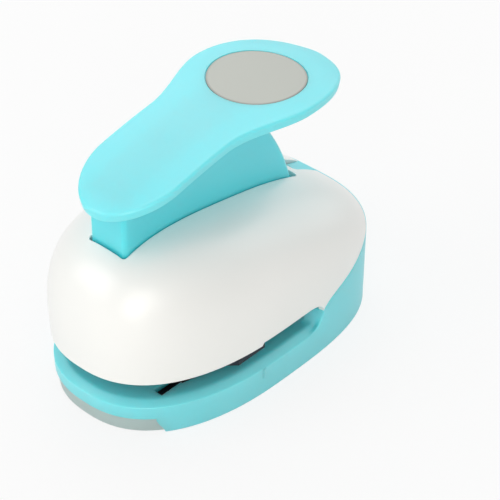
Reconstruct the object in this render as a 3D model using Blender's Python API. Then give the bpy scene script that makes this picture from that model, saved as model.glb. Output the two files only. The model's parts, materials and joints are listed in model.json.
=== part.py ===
"""Lever circle punch: moulded base and domed cover, steel die pack, cutter on two posts, hinged lever.

Metres, +Z up. Y is the long axis, the paper goes in at -Y, and the origin is at the bottom centre.
"""

import math

import bmesh
import bpy
from mathutils import Matrix, Vector

# Clearances and fineness
SEAT_GAP = 0.0003
RUNNING_GAP = 0.0003
OVERRUN = 0.002
SMOOTH_ANGLE = math.radians(32)
EVEN_STATIONS = 26
CIRCLE_SIDES = 40
EAR_SIDES = 28
SMALL_SIDES = 14
HALVINGS = 30
HIGHEST_LEVEL = 1.6

# The circle it cuts: the die pack, the lever's reach and the body's outline all follow from it
CUTTER_RADIUS = 0.0254
DIE_Y = -0.0130

# Body outline and dome
SIDE_ROOM = 0.0021
END_ROOM = 0.0195
FRONT_EXPONENT = 2.4
REAR_EXPONENT = 3.0
WALL_LEAN = 0.0013
SHOULDER_HEIGHT = 0.0354
DOME_FRONT_RISE = 0.0511
DOME_MIDDLE_RISE = 0.0346
DOME_REAR_RISE = 0.0277
DOME_FRONT_ROUNDNESS = 2.64
DOME_REAR_ROUNDNESS = 1.90

# Base housing
BASE_WALL = 0.0024
FOOT_ROUND = 0.0008
DECK_HEIGHT = 0.0150
DECK_THICKNESS = 0.0040
LEAD_IN_WIDTH = 0.0035
LEAD_IN_DROP = 0.0020
TICK_WIDTH = 0.0011
TICK_PROUD = 0.0005
TICK_HEIGHT = 0.0048
BOSS_RADIUS = 0.0034
BOSS_DEPTH = 0.0060
REAR_WEB_THICKNESS = 0.0018

# Throat, its rear end and the parting line behind it
THROAT_GAP = 0.0047
THROAT_END_RUN = 0.0093
THROAT_TIP_BEHIND_SPACER = 0.0023
THROAT_TIP_ABOVE_DECK = 0.0056
THROAT_END_SHARES = (0.0, 0.3, 0.55, 0.75, 0.9, 1.0, 1.15, 1.4)
TIP_RISE = 0.0030
TIP_RUN = 0.0032
PARTING_SLOPE = 0.24
HEEL_ABOVE_SHOULDER = 0.0141
HEEL_EXPONENT = 4
PARTING_GAP = 0.0004

# Top cover
COVER_WALL = 0.0022
RIM_ABOVE_GUIDE = 0.0027
RIM_STEP = 0.0013
RIM_STEP_RUN = 0.0008
POLE_RING_SHARE = 0.04
COVER_BOSS_RADIUS = 0.0036
COVER_FRONT_BOSS_IN = 0.0060
COVER_FRONT_BOSS_BACK = 0.0040
COVER_REAR_BOSS_IN = 0.0150
COVER_REAR_BOSS_BACK = 0.0075
COVER_SCREW_SHANK = 0.0014
COVER_SCREW_HEAD = 0.0026
COVER_SCREW_GRIP = 0.0120
SLOT_SIDE_GAP = 0.0004
SLOT_FRONT_GAP = 0.0008
SLOT_REAR_GAP = 0.0002
SLOT_CORNER_SHARE = 0.25

# Die pack
CUTTER_WALL = 0.0030
CUTTER_HEIGHT = 0.0140
CUTTER_IN_GUIDE = 0.0015
CUTTER_WAVE = 0.0012
CUTTER_LAND = 0.0005
DIE_THICKNESS = 0.0025
DIE_SIDE_MARGIN = 0.0046
DIE_FRONT_MARGIN = 0.0030
DIE_CORNER_WIDTH = 0.0036
DIE_CORNER_DEPTH = 0.0150
SPACER_BEHIND_CUTTER = 0.0066
SPACER_DEPTH = 0.0120
CHIP_HOLE_MARGIN = 0.0015
CHANNEL_SIDE_IN = 0.0004
CHANNEL_WIDTH = 0.0045
CHANNEL_LENGTH = 0.0106
LEG_WIDTH = 0.0022
GUIDE_THICKNESS = 0.0023
GUIDE_SIDE_MARGIN = 0.0106
GUIDE_FRONT_BACK = 0.0014
GUIDE_CORNER = 0.0038
GUIDE_EAR_REACH = 0.0032
GUIDE_EAR_FRONT = 0.0110
GUIDE_EAR_REAR = 0.0035
TONGUE_HALF_WIDTH = 0.0150
RIVET_SHANK = 0.0017
RIVET_HEAD = 0.0030
RIVET_HEAD_HEIGHT = 0.0012
RIVET_CROWN_SHARE = 0.7
RIVET_SIDE_IN = 0.0035
RIVET_PITCH = 0.0065
DIE_SCREW_SHANK = 0.0014
DIE_SCREW_HEAD = 0.0027
DIE_SCREW_LENGTH = 0.0080
DIE_SCREW_HEAD_HEIGHT = 0.0018
DIE_SCREW_REACH = 0.0066

# Punch head, posts and springs
HEAD_THICKNESS = 0.0040
HEAD_MARGIN = 0.0023
EAR_RADIUS = 0.0070
EAR_RISE = 0.0032
SPRING_ROOF = 0.0020
POST_OFFSET = 0.0063
POST_RADIUS = 0.0025
POST_SHOULDER = 0.0032
POST_SHOULDER_HEIGHT = 0.0010
POST_SPIGOT = 0.0019
POST_TOP_ABOVE_EAR = 0.0020
SPRING_RADIUS = 0.0042
SPRING_WIRE = 0.0005
SPRING_TURNS = 4.5
SPRING_POINTS_A_TURN = 8
WEAR_PLATE_HALF_WIDTH = 0.0085
WEAR_PLATE_HALF_LENGTH = 0.0090
WEAR_PLATE_THICKNESS = 0.0014
CUTTER_SCREW_SHARE = 0.55
CUTTER_SCREW_SHANK = 0.0014
CUTTER_SCREW_HEAD = 0.0028
CUTTER_SCREW_LENGTH = 0.0062

# Lever and its pivot
PIVOT_ROOM = 0.0023
PIVOT_ABOVE_GUIDE = 0.0140
AXLE_RADIUS = 0.0025
AXLE_OVERHANG = 0.0028
BUSH_RADIUS = 0.0055
BUSH_THICKNESS = 0.0008
BRACKET_THICKNESS = 0.0015
BRACKET_HALF_LENGTH = 0.0070
BRACKET_EYE_RADIUS = 0.0060
BRACKET_RIVET_X = 0.0060
CLIP_THICKNESS = 0.0008
CLIP_RADIUS = 0.0044
CLIP_GROOVE_DEPTH = 0.0005
CLIP_OPENING = math.radians(70)
LEVER_BOSS_RADIUS = 0.0065
LEVER_BOSS_REAR_TURN = math.radians(20)
STEM_HALF_WIDTH = 0.0092
STEM_FRONT_OFFSET = 0.0015
STEM_BEHIND_PACK = 0.0108
STEM_CORNER = 0.0020
STEM_SECTION_SHARES = ((1.0, 1.0), (0.93, 0.3), (0.78, 0.0))
STEM_WALL = 0.0026
NOSE_RADIUS = 0.0040
NOSE_RELIEF = 0.0018
STEM_HEEL_DROP = 0.0002
PADDLE_BEFORE_PIVOT = 0.0088
PADDLE_FRONT_ROUND = 0.0250
PADDLE_SWELL_LENGTH = 0.0346
PADDLE_REAR_ROUND = 0.0379
PADDLE_BEHIND_STEM = 0.0220
PADDLE_FRONT_HALF_WIDTH = 0.0203
PADDLE_REAR_HALF_WIDTH = 0.0289
PADDLE_FRONT_EXPONENT = 1.91
PADDLE_REAR_EXPONENT = 2.05
PADDLE_CREST_ABOVE_PIVOT = 0.0704
PADDLE_CROWN = 0.0012
PADDLE_CROWN_SHARES = (0.75, 0.4)
PADDLE_FRONT_DROP = 0.0151
PADDLE_REAR_DROP = 0.0051
PADDLE_ARCH_EXPONENT = 1.85
PADDLE_EDGE = 0.0043
PADDLE_EDGE_ROUND = 0.0018
EDGE_BEVEL_SHARE = 0.3
PADDLE_RIM = 0.0022
PADDLE_RECESS = 0.0014
PADDLE_SECTIONS = 34
PADDLE_TIP_SHARE = 0.35
DISC_RADIUS = 0.0192
DISC_BEHIND_WIDEST = 0.0023
DISC_THICKNESS = 0.0008
DISC_BELOW_CREST = 0.0010

# Lock slider at the rear
LOCK_ABOVE_SHOULDER = 0.0121
LOCK_TIP_GAP = 0.0012
LOCK_PLATE_THICKNESS = 0.0024
LOCK_TONGUE_HALF_WIDTH = 0.0030
LOCK_TONGUE_LENGTH = 0.0045
LOCK_HALF_WIDTH = 0.0044
LOCK_PLATE_LENGTH = 0.0105
LOCK_THUMB_LENGTH = 0.0080
LOCK_THUMB_FRONT_RISE = 0.0040
LOCK_THUMB_REAR_RISE = 0.0021
LOCK_TRAVEL = 0.0040
LOCK_SLOT_GAP = 0.0006
LOCK_POCKET_DEPTH = 0.0034
LEVER_SWING = math.radians(16)
TOWER_HALF_WIDTH = 0.0120
TOWER_WALL = 0.0024
TOWER_TOP = 0.0038
TOWER_FRONT_GAP = 0.0022
TOWER_DEPTH = 0.0165
LEAF_HALF_WIDTH = 0.0025
LEAF_THICKNESS = 0.0004
LEAF_LENGTH = 0.0100
LEAF_ARCH = 0.0009

# Chip tray
TRAY_FLOOR_HEIGHT = 0.0005
TRAY_FLOOR = 0.0016
TRAY_WALL = 0.0018
TRAY_SIDE_GAP = 0.0006
TRAY_TOP_GAP = 0.0012
TRAY_LIP_HEIGHT = 0.0070
TRAY_LIP_SIDE = 0.0138
TRAY_LIP_SPLAY = 0.0019
TRAY_LIP_SUNK = 0.0010
TRAY_LIP_GAP = 0.0004
TRAY_HINGE_HEIGHT = 0.0030
TRAY_HINGE_DEPTH = 0.0045
TRAY_BARREL_RADIUS = 0.0023
TRAY_BARREL_SIDE = 0.0210
TRAY_PIN_RADIUS = 0.0010
TRAY_LUG_WIDTH = 0.0032
REAR_WEB_GAP = 0.0010

# Colours as red, green and blue of 0 to 255
AQUA = (146, 231, 236)
WHITE = (240, 240, 238)
FROSTED = (186, 216, 216)
LABEL_GREY = (196, 199, 192)
DARK_STEEL = (60, 62, 66)
BRIGHT_STEEL = (190, 192, 196)
NYLON_GREY = (90, 92, 96)

# Heights and places that follow from the sizes above
EDGE_HEIGHT = DECK_HEIGHT - LEAD_IN_DROP
DECK_UNDERSIDE = DECK_HEIGHT - DECK_THICKNESS
DIE_FLOOR = DECK_HEIGHT - DIE_THICKNESS - SEAT_GAP
GUIDE_UNDERSIDE = DECK_HEIGHT + THROAT_GAP
GUIDE_TOP = GUIDE_UNDERSIDE + GUIDE_THICKNESS
TIP_HEIGHT = DECK_HEIGHT + THROAT_TIP_ABOVE_DECK
RIM_HEIGHT = GUIDE_TOP + RIM_ABOVE_GUIDE
RIM_STEP_Y = DIE_Y - RIM_STEP_RUN
DIE_HALF_WIDTH = CUTTER_RADIUS + DIE_SIDE_MARGIN
DIE_FRONT_HALF_WIDTH = DIE_HALF_WIDTH - DIE_CORNER_WIDTH
DIE_FRONT = DIE_Y - CUTTER_RADIUS - DIE_FRONT_MARGIN
CHANNEL_OUTER = DIE_FRONT_HALF_WIDTH - CHANNEL_SIDE_IN
CHANNEL_INNER = CHANNEL_OUTER - CHANNEL_WIDTH
CHANNEL_FRONT = DIE_FRONT - CHANNEL_LENGTH
SPACER_FRONT = DIE_Y + CUTTER_RADIUS + SPACER_BEHIND_CUTTER
PACK_REAR = SPACER_FRONT + SPACER_DEPTH
THROAT_TIP_Y = SPACER_FRONT + THROAT_TIP_BEHIND_SPACER
THROAT_END_START = THROAT_TIP_Y - THROAT_END_RUN
RIVET_Y = SPACER_FRONT + SPACER_DEPTH / 2
RIVET_OUTER_X = DIE_HALF_WIDTH - RIVET_SIDE_IN
REAR_DIE_SCREW_X = RIVET_OUTER_X - RIVET_PITCH
RIVET_INNER_X = REAR_DIE_SCREW_X - RIVET_PITCH
POST_X = CUTTER_RADIUS + POST_OFFSET
GUIDE_HALF_WIDTH = CUTTER_RADIUS + GUIDE_SIDE_MARGIN
GUIDE_FRONT = DIE_Y - CUTTER_RADIUS + GUIDE_FRONT_BACK
CUTTER_SCREW_X = CUTTER_RADIUS * CUTTER_SCREW_SHARE
BODY_HALF_WIDTH = POST_X + EAR_RADIUS + SIDE_ROOM + COVER_WALL
PIVOT_Y = DIE_Y - CUTTER_RADIUS - HEAD_MARGIN - PIVOT_ROOM - BRACKET_HALF_LENGTH
BODY_HALF_LENGTH = END_ROOM - PIVOT_Y
TONGUE_FRONT = PIVOT_Y - BRACKET_HALF_LENGTH
COVER_FRONT_BOSS = (GUIDE_HALF_WIDTH - COVER_FRONT_BOSS_IN, GUIDE_FRONT + COVER_FRONT_BOSS_BACK)
COVER_REAR_BOSS = (BODY_HALF_WIDTH - COVER_REAR_BOSS_IN, PACK_REAR + COVER_REAR_BOSS_BACK)
STEM_REAR_RADIUS = PACK_REAR + STEM_BEHIND_PACK - PIVOT_Y
PADDLE_FRONT_TIP = PIVOT_Y - PADDLE_BEFORE_PIVOT
PADDLE_REAR_TIP = PIVOT_Y + STEM_REAR_RADIUS + PADDLE_BEHIND_STEM
PADDLE_WIDEST_Y = PADDLE_REAR_TIP - PADDLE_REAR_ROUND
PADDLE_WAIST_Y = PADDLE_WIDEST_Y - PADDLE_SWELL_LENGTH
DISC_Y = PADDLE_WIDEST_Y + DISC_BEHIND_WIDEST
CUTTER_BOTTOM = GUIDE_TOP - CUTTER_IN_GUIDE
CUTTER_TOP = CUTTER_BOTTOM + CUTTER_HEIGHT
HEAD_BOTTOM = CUTTER_TOP + SEAT_GAP
HEAD_TOP = HEAD_BOTTOM + HEAD_THICKNESS
EAR_TOP = HEAD_TOP + EAR_RISE
SPRING_TOP = EAR_TOP - SPRING_ROOF - SEAT_GAP
SPRING_BOTTOM = GUIDE_TOP + SEAT_GAP
WEAR_TOP = HEAD_TOP + SEAT_GAP + WEAR_PLATE_THICKNESS
PIVOT_HEIGHT = GUIDE_TOP + PIVOT_ABOVE_GUIDE
CHEEK_INNER = STEM_HALF_WIDTH + BUSH_THICKNESS + 2 * RUNNING_GAP
CHEEK_OUTER = CHEEK_INNER + BRACKET_THICKNESS
PADDLE_CREST = PIVOT_HEIGHT + PADDLE_CREST_ABOVE_PIVOT
PADDLE_SUMMIT = PADDLE_CREST + PADDLE_CROWN
LOCK_FLOOR = SHOULDER_HEIGHT + LOCK_ABOVE_SHOULDER
LOCK_PLATE_BOTTOM = LOCK_FLOOR + SEAT_GAP
LOCK_PLATE_TOP = LOCK_PLATE_BOTTOM + LOCK_PLATE_THICKNESS
LOCK_TIP_Y = PIVOT_Y + STEM_REAR_RADIUS + LOCK_TIP_GAP
LOCK_REAR_Y = LOCK_TIP_Y + LOCK_TONGUE_LENGTH + LOCK_PLATE_LENGTH
LOCK_THUMB_FRONT_Y = LOCK_REAR_Y - LOCK_THUMB_LENGTH
TOWER_FRONT_Y = PIVOT_Y + STEM_REAR_RADIUS + TOWER_FRONT_GAP
TRAY_HINGE_Y = BODY_HALF_LENGTH - END_ROOM
TRAY_REAR_Y = TRAY_HINGE_Y - TRAY_HINGE_DEPTH
TRAY_LIP_FOOT_X = BODY_HALF_WIDTH - TRAY_LIP_SIDE
TRAY_LIP_TOP_X = TRAY_LIP_FOOT_X - TRAY_LIP_SPLAY
TRAY_BARREL_HALF_LENGTH = BODY_HALF_WIDTH - TRAY_BARREL_SIDE
TRAY_INSET = BASE_WALL + TRAY_SIDE_GAP
TRAY_TOP = DECK_UNDERSIDE - TRAY_TOP_GAP
REAR_WEB_Y = TRAY_HINGE_Y + TRAY_BARREL_RADIUS + REAR_WEB_GAP


def moulding(name, colour, roughness, metallic=0.0, transmission=0.0):
    """A Principled material with the piece's colour, roughness and metallic value."""
    made = bpy.data.materials.new(name)
    made.use_nodes = True
    shader = made.node_tree.nodes["Principled BSDF"]
    shader.inputs["Base Color"].default_value = (*colour, 1.0)
    shader.inputs["Roughness"].default_value = roughness
    shader.inputs["Metallic"].default_value = metallic
    shader.inputs["Transmission Weight"].default_value = transmission
    made.diffuse_color = (*colour, 1.0)
    return made


def linear(red, green, blue):
    """An sRGB colour of 0 to 255 a channel as linear values."""
    parts = (value / 255 for value in (red, green, blue))
    return tuple(v / 12.92 if v <= 0.04045 else ((v + 0.055) / 1.055) ** 2.4 for v in parts)


def mesh_object(name, points, faces, material):
    """A closed mesh object with its faces pointing outwards and its round parts shaded smooth."""
    mesh = bpy.data.meshes.new(name)
    mesh.from_pydata([tuple(point) for point in points], [], faces)
    work = bmesh.new()
    work.from_mesh(mesh)
    bmesh.ops.recalc_face_normals(work, faces=work.faces)
    work.to_mesh(mesh)
    work.free()
    mesh.shade_smooth()
    mesh.set_sharp_from_angle(angle=SMOOTH_ANGLE)
    mesh.materials.append(material)
    made = bpy.data.objects.new(name, mesh)
    bpy.context.collection.objects.link(made)
    return made


def loft(name, rings, material, joined=False):
    """Skins equal rings of points in turn. The ends are capped, or joined to each other."""
    count = len(rings[0])
    points = [point for ring in rings for point in ring]
    faces = []
    for row in range(len(rings) - (0 if joined else 1)):
        after = (row + 1) % len(rings)
        for i in range(count):
            j = (i + 1) % count
            faces.append((row * count + i, row * count + j, after * count + j, after * count + i))
    if not joined:
        faces.append(tuple(range(count)))
        faces.append(tuple(range(len(points) - count, len(points))))
    return mesh_object(name, points, faces, material)


def prism(name, outline, low, high, material):
    """An upright prism over an outline of (x, y) points."""
    return loft(name, [[(x, y, z) for x, y in outline] for z in (low, high)], material)


def side_prism(name, outline, low, high, material):
    """A prism across the part, over an outline of (y, z) points."""
    return loft(name, [[(x, y, z) for y, z in outline] for x in (low, high)], material)


def box(name, low, high, material):
    outline = [(low[0], low[1]), (high[0], low[1]), (high[0], high[1]), (low[0], high[1])]
    return prism(name, outline, low[2], high[2], material)


def arc(centre, radius, start, end, steps):
    """Points along an arc in a plane, both ends included."""
    turns = (start + (end - start) * i / steps for i in range(steps + 1))
    return [(centre[0] + radius * math.cos(t), centre[1] + radius * math.sin(t)) for t in turns]


def circle(radius, height, sides):
    turns = (2 * math.pi * i / sides for i in range(sides))
    return [(radius * math.cos(t), radius * math.sin(t), height) for t in turns]


def turned(name, profile, material, place=(0, 0, 0), sides=SMALL_SIDES, bored=False):
    """A piece turned about its own Z from a profile of (radius, height) points. A bored one is a ring."""
    made = loft(name, [circle(radius, height, sides) for radius, height in profile], material, bored)
    made.location = place
    return made


def along_x(piece):
    """Lays a turned piece along X."""
    piece.rotation_euler = (0, math.pi / 2, 0)
    return piece


def boolean(target, tool, operation):
    """Adds a live Boolean and hides its tool from the render."""
    tool.hide_render = True
    tool.display_type = "WIRE"
    step = target.modifiers.new(f"{operation.lower()} {tool.name}", "BOOLEAN")
    step.operation = operation
    step.solver = "EXACT"
    step.object = tool


def cut(target, tool):
    boolean(target, tool, "DIFFERENCE")


def fuse(target, tool):
    boolean(target, tool, "UNION")


def bore(target, name, place, radius, low, high, sides=SMALL_SIDES):
    """A round hole along Z."""
    x, y = place
    profile = [(radius, low - OVERRUN), (radius, high + OVERRUN)]
    tool = turned(f"cutter_{target.name}_{name}", profile, target.data.materials[0], (x, y, 0), sides)
    cut(target, tool)


def carried(piece, axis):
    """Parents a piece to the empty on its joint's axis and leaves it in place."""
    piece.parent = axis
    piece.matrix_parent_inverse = Matrix.Translation(-Vector(axis.location))
    return piece


def joint_axis(name, place):
    axis = bpy.data.objects.new(name, None)
    axis.location = place
    axis.empty_display_size = LEVER_BOSS_RADIUS
    bpy.context.collection.objects.link(axis)
    return axis


def power(value, exponent):
    return math.copysign(abs(value) ** exponent, value)


def mix(low, high, share):
    return low + (high - low) * share


def body_exponent(y):
    return FRONT_EXPONENT if y < 0 else REAR_EXPONENT


def plan_point(turn, inset=0.0):
    """The body's outline as a superellipse, squarer behind than in front, drawn in by inset."""
    exponent = 2 / body_exponent(math.sin(turn))
    x = (BODY_HALF_WIDTH - inset) * power(math.cos(turn), exponent)
    return x, (BODY_HALF_LENGTH - inset) * power(math.sin(turn), exponent)


def turn_at(y, inset=0.0):
    """The direction in which the right side of the outline passes y."""
    return math.asin(power(y / (BODY_HALF_LENGTH - inset), body_exponent(y) / 2))


def lean(y, height):
    """The share of its shoulder outline that the wall has at a height: it leans in towards the foot."""
    upright = (max(y, 0) / BODY_HALF_LENGTH) ** 2
    return 1 - WALL_LEAN / BODY_HALF_LENGTH * (1 - height / SHOULDER_HEIGHT) * (1 - upright)


def dome_rise(y, inset):
    """How far the dome would rise over the shoulder at its centre: a quadratic through three rises."""
    share = y / BODY_HALF_LENGTH
    slope = (DOME_REAR_RISE - DOME_FRONT_RISE) / 2
    bend = (DOME_REAR_RISE + DOME_FRONT_RISE) / 2 - DOME_MIDDLE_RISE
    return DOME_MIDDLE_RISE + slope * share + bend * share * share - inset


def roundness(y):
    share = (y / BODY_HALF_LENGTH + 1) / 2
    return DOME_FRONT_ROUNDNESS + (DOME_REAR_ROUNDNESS - DOME_FRONT_ROUNDNESS) * share


def dome_height(reach, y, inset=0.0):
    """Height of the dome at a share reach of the way from the centre to the outline."""
    power_of = roundness(y)
    return SHOULDER_HEIGHT + dome_rise(y, inset) * max(0.0, 1 - reach**power_of) ** (1 / power_of)


def dome_over(x, y, inset=0.0):
    """Height of the dome over a point of the plan."""
    exponent = body_exponent(y)
    across = abs(x / (BODY_HALF_WIDTH - inset)) ** exponent
    along = abs(y / (BODY_HALF_LENGTH - inset)) ** exponent
    return dome_height((across + along) ** (1 / exponent), y, inset)


def meridian_point(turn, level, inset=0.0):
    """A point of the body's skin: level 0 to 1 goes up the wall, 1 to 2 over the dome to its pole."""
    x, y = plan_point(turn, inset)
    if level <= 1:
        height = level * SHOULDER_HEIGHT
        share = lean(y, height)
        return x * share, y * share, height
    reach = math.cos((level - 1) * math.pi / 2) ** (2 / roundness(y))
    return x * reach, y * reach, dome_height(reach, y * reach, inset)


def level_at(turn, height, inset=0.0):
    """The level at which the skin passes a height: direct on the wall, halved down to on the dome."""
    if height <= SHOULDER_HEIGHT:
        return height / SHOULDER_HEIGHT
    low, high = 1.0, HIGHEST_LEVEL
    for _ in range(HALVINGS):
        middle = (low + high) / 2
        if meridian_point(turn, middle, inset)[2] < height:
            low = middle
        else:
            high = middle
    return middle


def station_turns():
    """Directions all round the body, closer where the rim steps and where the throat ends."""
    marks = [turn_at(RIM_STEP_Y - RIM_STEP_RUN / 2), turn_at(RIM_STEP_Y + RIM_STEP_RUN / 2)]
    run = THROAT_TIP_Y - THROAT_END_START
    marks += [turn_at(THROAT_END_START + share * run) for share in THROAT_END_SHARES]
    step = math.pi / EVEN_STATIONS
    even = [i * step - math.pi / 2 for i in range(EVEN_STATIONS + 1)]
    kept = [turn for turn in even if min(abs(turn - mark) for mark in marks) > step / 3]
    right = sorted(kept + marks)
    return right + [math.pi - turn for turn in reversed(right[1:-1])]


def throat_end(y, straight, tip):
    """Height of a throat edge: straight, then a quarter ellipse to the tip where the throat ends."""
    share = (y - THROAT_END_START) / (THROAT_TIP_Y - THROAT_END_START)
    if share <= 0:
        return straight
    return straight + (tip - straight) * (1 - math.sqrt(max(0.0, 1 - share * share)))


def base_top(y):
    """Top of the base's wall: crisp edge, throat end, then the parting line that climbs to the heel."""
    if y <= THROAT_TIP_Y:
        return throat_end(y, EDGE_HEIGHT, TIP_HEIGHT)
    run = y - THROAT_TIP_Y
    whole_run = BODY_HALF_LENGTH - THROAT_TIP_Y
    climb = TIP_RISE * (1 - math.exp(-run / TIP_RUN)) + PARTING_SLOPE * run
    heel_rise = SHOULDER_HEIGHT + HEEL_ABOVE_SHOULDER - TIP_HEIGHT - TIP_RISE - PARTING_SLOPE * whole_run
    return TIP_HEIGHT + climb + heel_rise * (run / whole_run) ** HEEL_EXPONENT


def cover_rim(y):
    """Bottom edge of the cover: its front rim, a small step up, the throat end, then the parting line."""
    if y > THROAT_TIP_Y:
        return base_top(y) + PARTING_GAP
    straight = RIM_HEIGHT + (RIM_STEP if y > RIM_STEP_Y else 0.0)
    return throat_end(y, straight, TIP_HEIGHT + PARTING_GAP)


def base_wall_rings(turns):
    """Rings from the deck's underside down the inner wall, up the outer wall and in to the deck."""
    inner_foot = [meridian_point(turn, 0, BASE_WALL) for turn in turns]
    under = [meridian_point(turn, DECK_UNDERSIDE / SHOULDER_HEIGHT, BASE_WALL) for turn in turns]
    foot = [meridian_point(turn, 0, FOOT_ROUND) for turn in turns]
    rings = [under, inner_foot, foot]
    tops = [base_top(plan_point(turn)[1]) for turn in turns]
    outer_steps = 6
    for step in range(outer_steps + 1):
        ring = []
        for turn, top in zip(turns, tops):
            low = FOOT_ROUND / SHOULDER_HEIGHT
            level = mix(low, level_at(turn, top), step / outer_steps)
            ring.append(meridian_point(turn, level))
        rings.append(ring)
    inner_steps = 3
    for step in range(inner_steps + 1):
        ring = []
        for turn, top in zip(turns, tops):
            heel = min(1.0, (top - EDGE_HEIGHT) / LEAD_IN_DROP / 2)
            lead = (step + 1) / (inner_steps + 1)
            fall = step / inner_steps
            inset = mix(LEAD_IN_WIDTH * lead, mix(BASE_WALL, LEAD_IN_WIDTH, fall), heel)
            height = mix(mix(EDGE_HEIGHT, DECK_HEIGHT, lead), mix(top, DECK_HEIGHT, fall), heel)
            ring.append(meridian_point(turn, level_at(turn, height, inset), inset))
        rings.append(ring)
    return rings


def plan_outline(inset, height, clip_y, keep_front):
    """The body's outline at a height as (x, y) points, cut straight across near clip_y."""
    level = height / SHOULDER_HEIGHT
    edge_x, edge_y, _ = meridian_point(turn_at(clip_y, inset), level, inset)
    points = [meridian_point(turn, level, inset)[:2] for turn in station_turns()]
    if keep_front:
        kept = [(x, y) for x, y in points if y < edge_y - SEAT_GAP]
    else:
        kept = [(x, y) for x, y in points if y > edge_y + SEAT_GAP]
    right = [(x, y) for x, y in kept if x >= 0]
    left = [(-x, y) for x, y in reversed(right) if x > 0]
    if keep_front:
        return right + [(edge_x, edge_y), (-edge_x, edge_y)] + left
    return [(edge_x, edge_y)] + right + left + [(-edge_x, edge_y)]


def screw_profile(head_at, tip_at, head, shank, grow=0.0):
    """A countersunk screw from its head's face to its tip. Grown, it is the hole that takes it."""
    way = math.copysign(1, tip_at - head_at)
    cone_end = head_at + way * (head - shank)
    start = [(head + grow, head_at - way * OVERRUN)] if grow else []
    return start + [(head + grow, head_at), (shank + grow, cone_end), (shank + grow, tip_at + way * grow)]


def both_sides(places):
    """Each (side name, sign) in turn with the places given for the right side."""
    for side, sign in (("right", 1), ("left", -1)):
        for label, (x, y) in places.items():
            yield f"{label}{side}", (sign * x, y)


def die_screw_places():
    """The front screws stand diagonally ahead of the die, the rear ones between the rivets."""
    offset = (CUTTER_RADIUS + DIE_SCREW_REACH) * math.sqrt(0.5)
    front = both_sides({"front_": (offset, DIE_Y - offset)})
    return dict(front), dict(both_sides({"rear_": (REAR_DIE_SCREW_X, RIVET_Y)}))


def cover_screw_places():
    return dict(both_sides({"front_": COVER_FRONT_BOSS})), dict(both_sides({"rear_": COVER_REAR_BOSS}))


def rivet_places():
    return dict(both_sides({"outer_": (RIVET_OUTER_X, RIVET_Y), "inner_": (RIVET_INNER_X, RIVET_Y)}))


def lip_end(height):
    """Half-width of the tray's front lip at a height: its ends splay towards the foot."""
    return mix(TRAY_LIP_FOOT_X, TRAY_LIP_TOP_X, height / TRAY_LIP_HEIGHT)


def lip_wedge(name, gap, material):
    """A block over the front wall with the lip's splayed ends, wider and taller by a gap."""
    low = -OVERRUN
    high = TRAY_LIP_HEIGHT + gap
    rings = []
    for y in (-BODY_HALF_LENGTH - OVERRUN, -BODY_HALF_LENGTH / 2):
        foot = lip_end(low) + gap
        top = lip_end(high) + gap
        rings.append([(-foot, y, low), (foot, y, low), (top, y, high), (-top, y, high)])
    return loft(name, rings, material)


def base_housing(material):
    turns = station_turns()
    base = loft("base_housing", base_wall_rings(turns), material)
    add_base_bosses(base, material)
    add_lock_tower(base, material)
    add_tray_hinge_lugs(base, material)
    web = plan_outline(BASE_WALL / 2, 0, REAR_WEB_Y, keep_front=False)
    fuse(base, prism("web_rear_floor", web, 0, REAR_WEB_THICKNESS, material))
    for side, sign in (("right", 1), ("left", -1)):
        skin = plan_point(turn_at(DIE_Y))[0] * lean(DIE_Y, EDGE_HEIGHT)
        low = (sign * skin - TICK_PROUD, DIE_Y - TICK_WIDTH / 2, EDGE_HEIGHT - TICK_HEIGHT)
        high = (sign * skin + TICK_PROUD, DIE_Y + TICK_WIDTH / 2, EDGE_HEIGHT)
        fuse(base, box(f"tick_{side}", low, high, material))
    cut_die_pocket(base, material)
    cut(base, lip_wedge("cutter_tray_lip", TRAY_LIP_GAP, material))
    low = (-LOCK_HALF_WIDTH - LOCK_SLOT_GAP, TOWER_FRONT_Y - OVERRUN, LOCK_FLOOR)
    high = (LOCK_HALF_WIDTH + LOCK_SLOT_GAP, LOCK_REAR_Y + LOCK_SLOT_GAP, LOCK_FLOOR + SHOULDER_HEIGHT)
    cut(base, box("cutter_lock_seat", low, high, material))
    return base


def add_base_bosses(base, material):
    """Bosses under the deck for the die screws and on it for the rear cover screws, all bored."""
    front, rear = die_screw_places()
    low = DECK_UNDERSIDE - BOSS_DEPTH
    for name, (x, y) in {**front, **rear}.items():
        profile = [(BOSS_RADIUS, low), (BOSS_RADIUS, DECK_UNDERSIDE + OVERRUN)]
        fuse(base, turned(f"boss_{name}", profile, material, (x, y, 0)))
        bore(base, f"die_screw_{name}", (x, y), DIE_SCREW_SHANK + RUNNING_GAP, low, DECK_HEIGHT)
    _, rear = cover_screw_places()
    for name, (x, y) in rear.items():
        top = base_top(y)
        profile = [(COVER_BOSS_RADIUS, DECK_HEIGHT - OVERRUN), (COVER_BOSS_RADIUS, top)]
        fuse(base, turned(f"boss_cover_{name}", profile, material, (x, y, 0)))
        bore(base, f"cover_screw_{name}", (x, y), COVER_SCREW_SHANK + RUNNING_GAP, DECK_UNDERSIDE, top)


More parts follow.
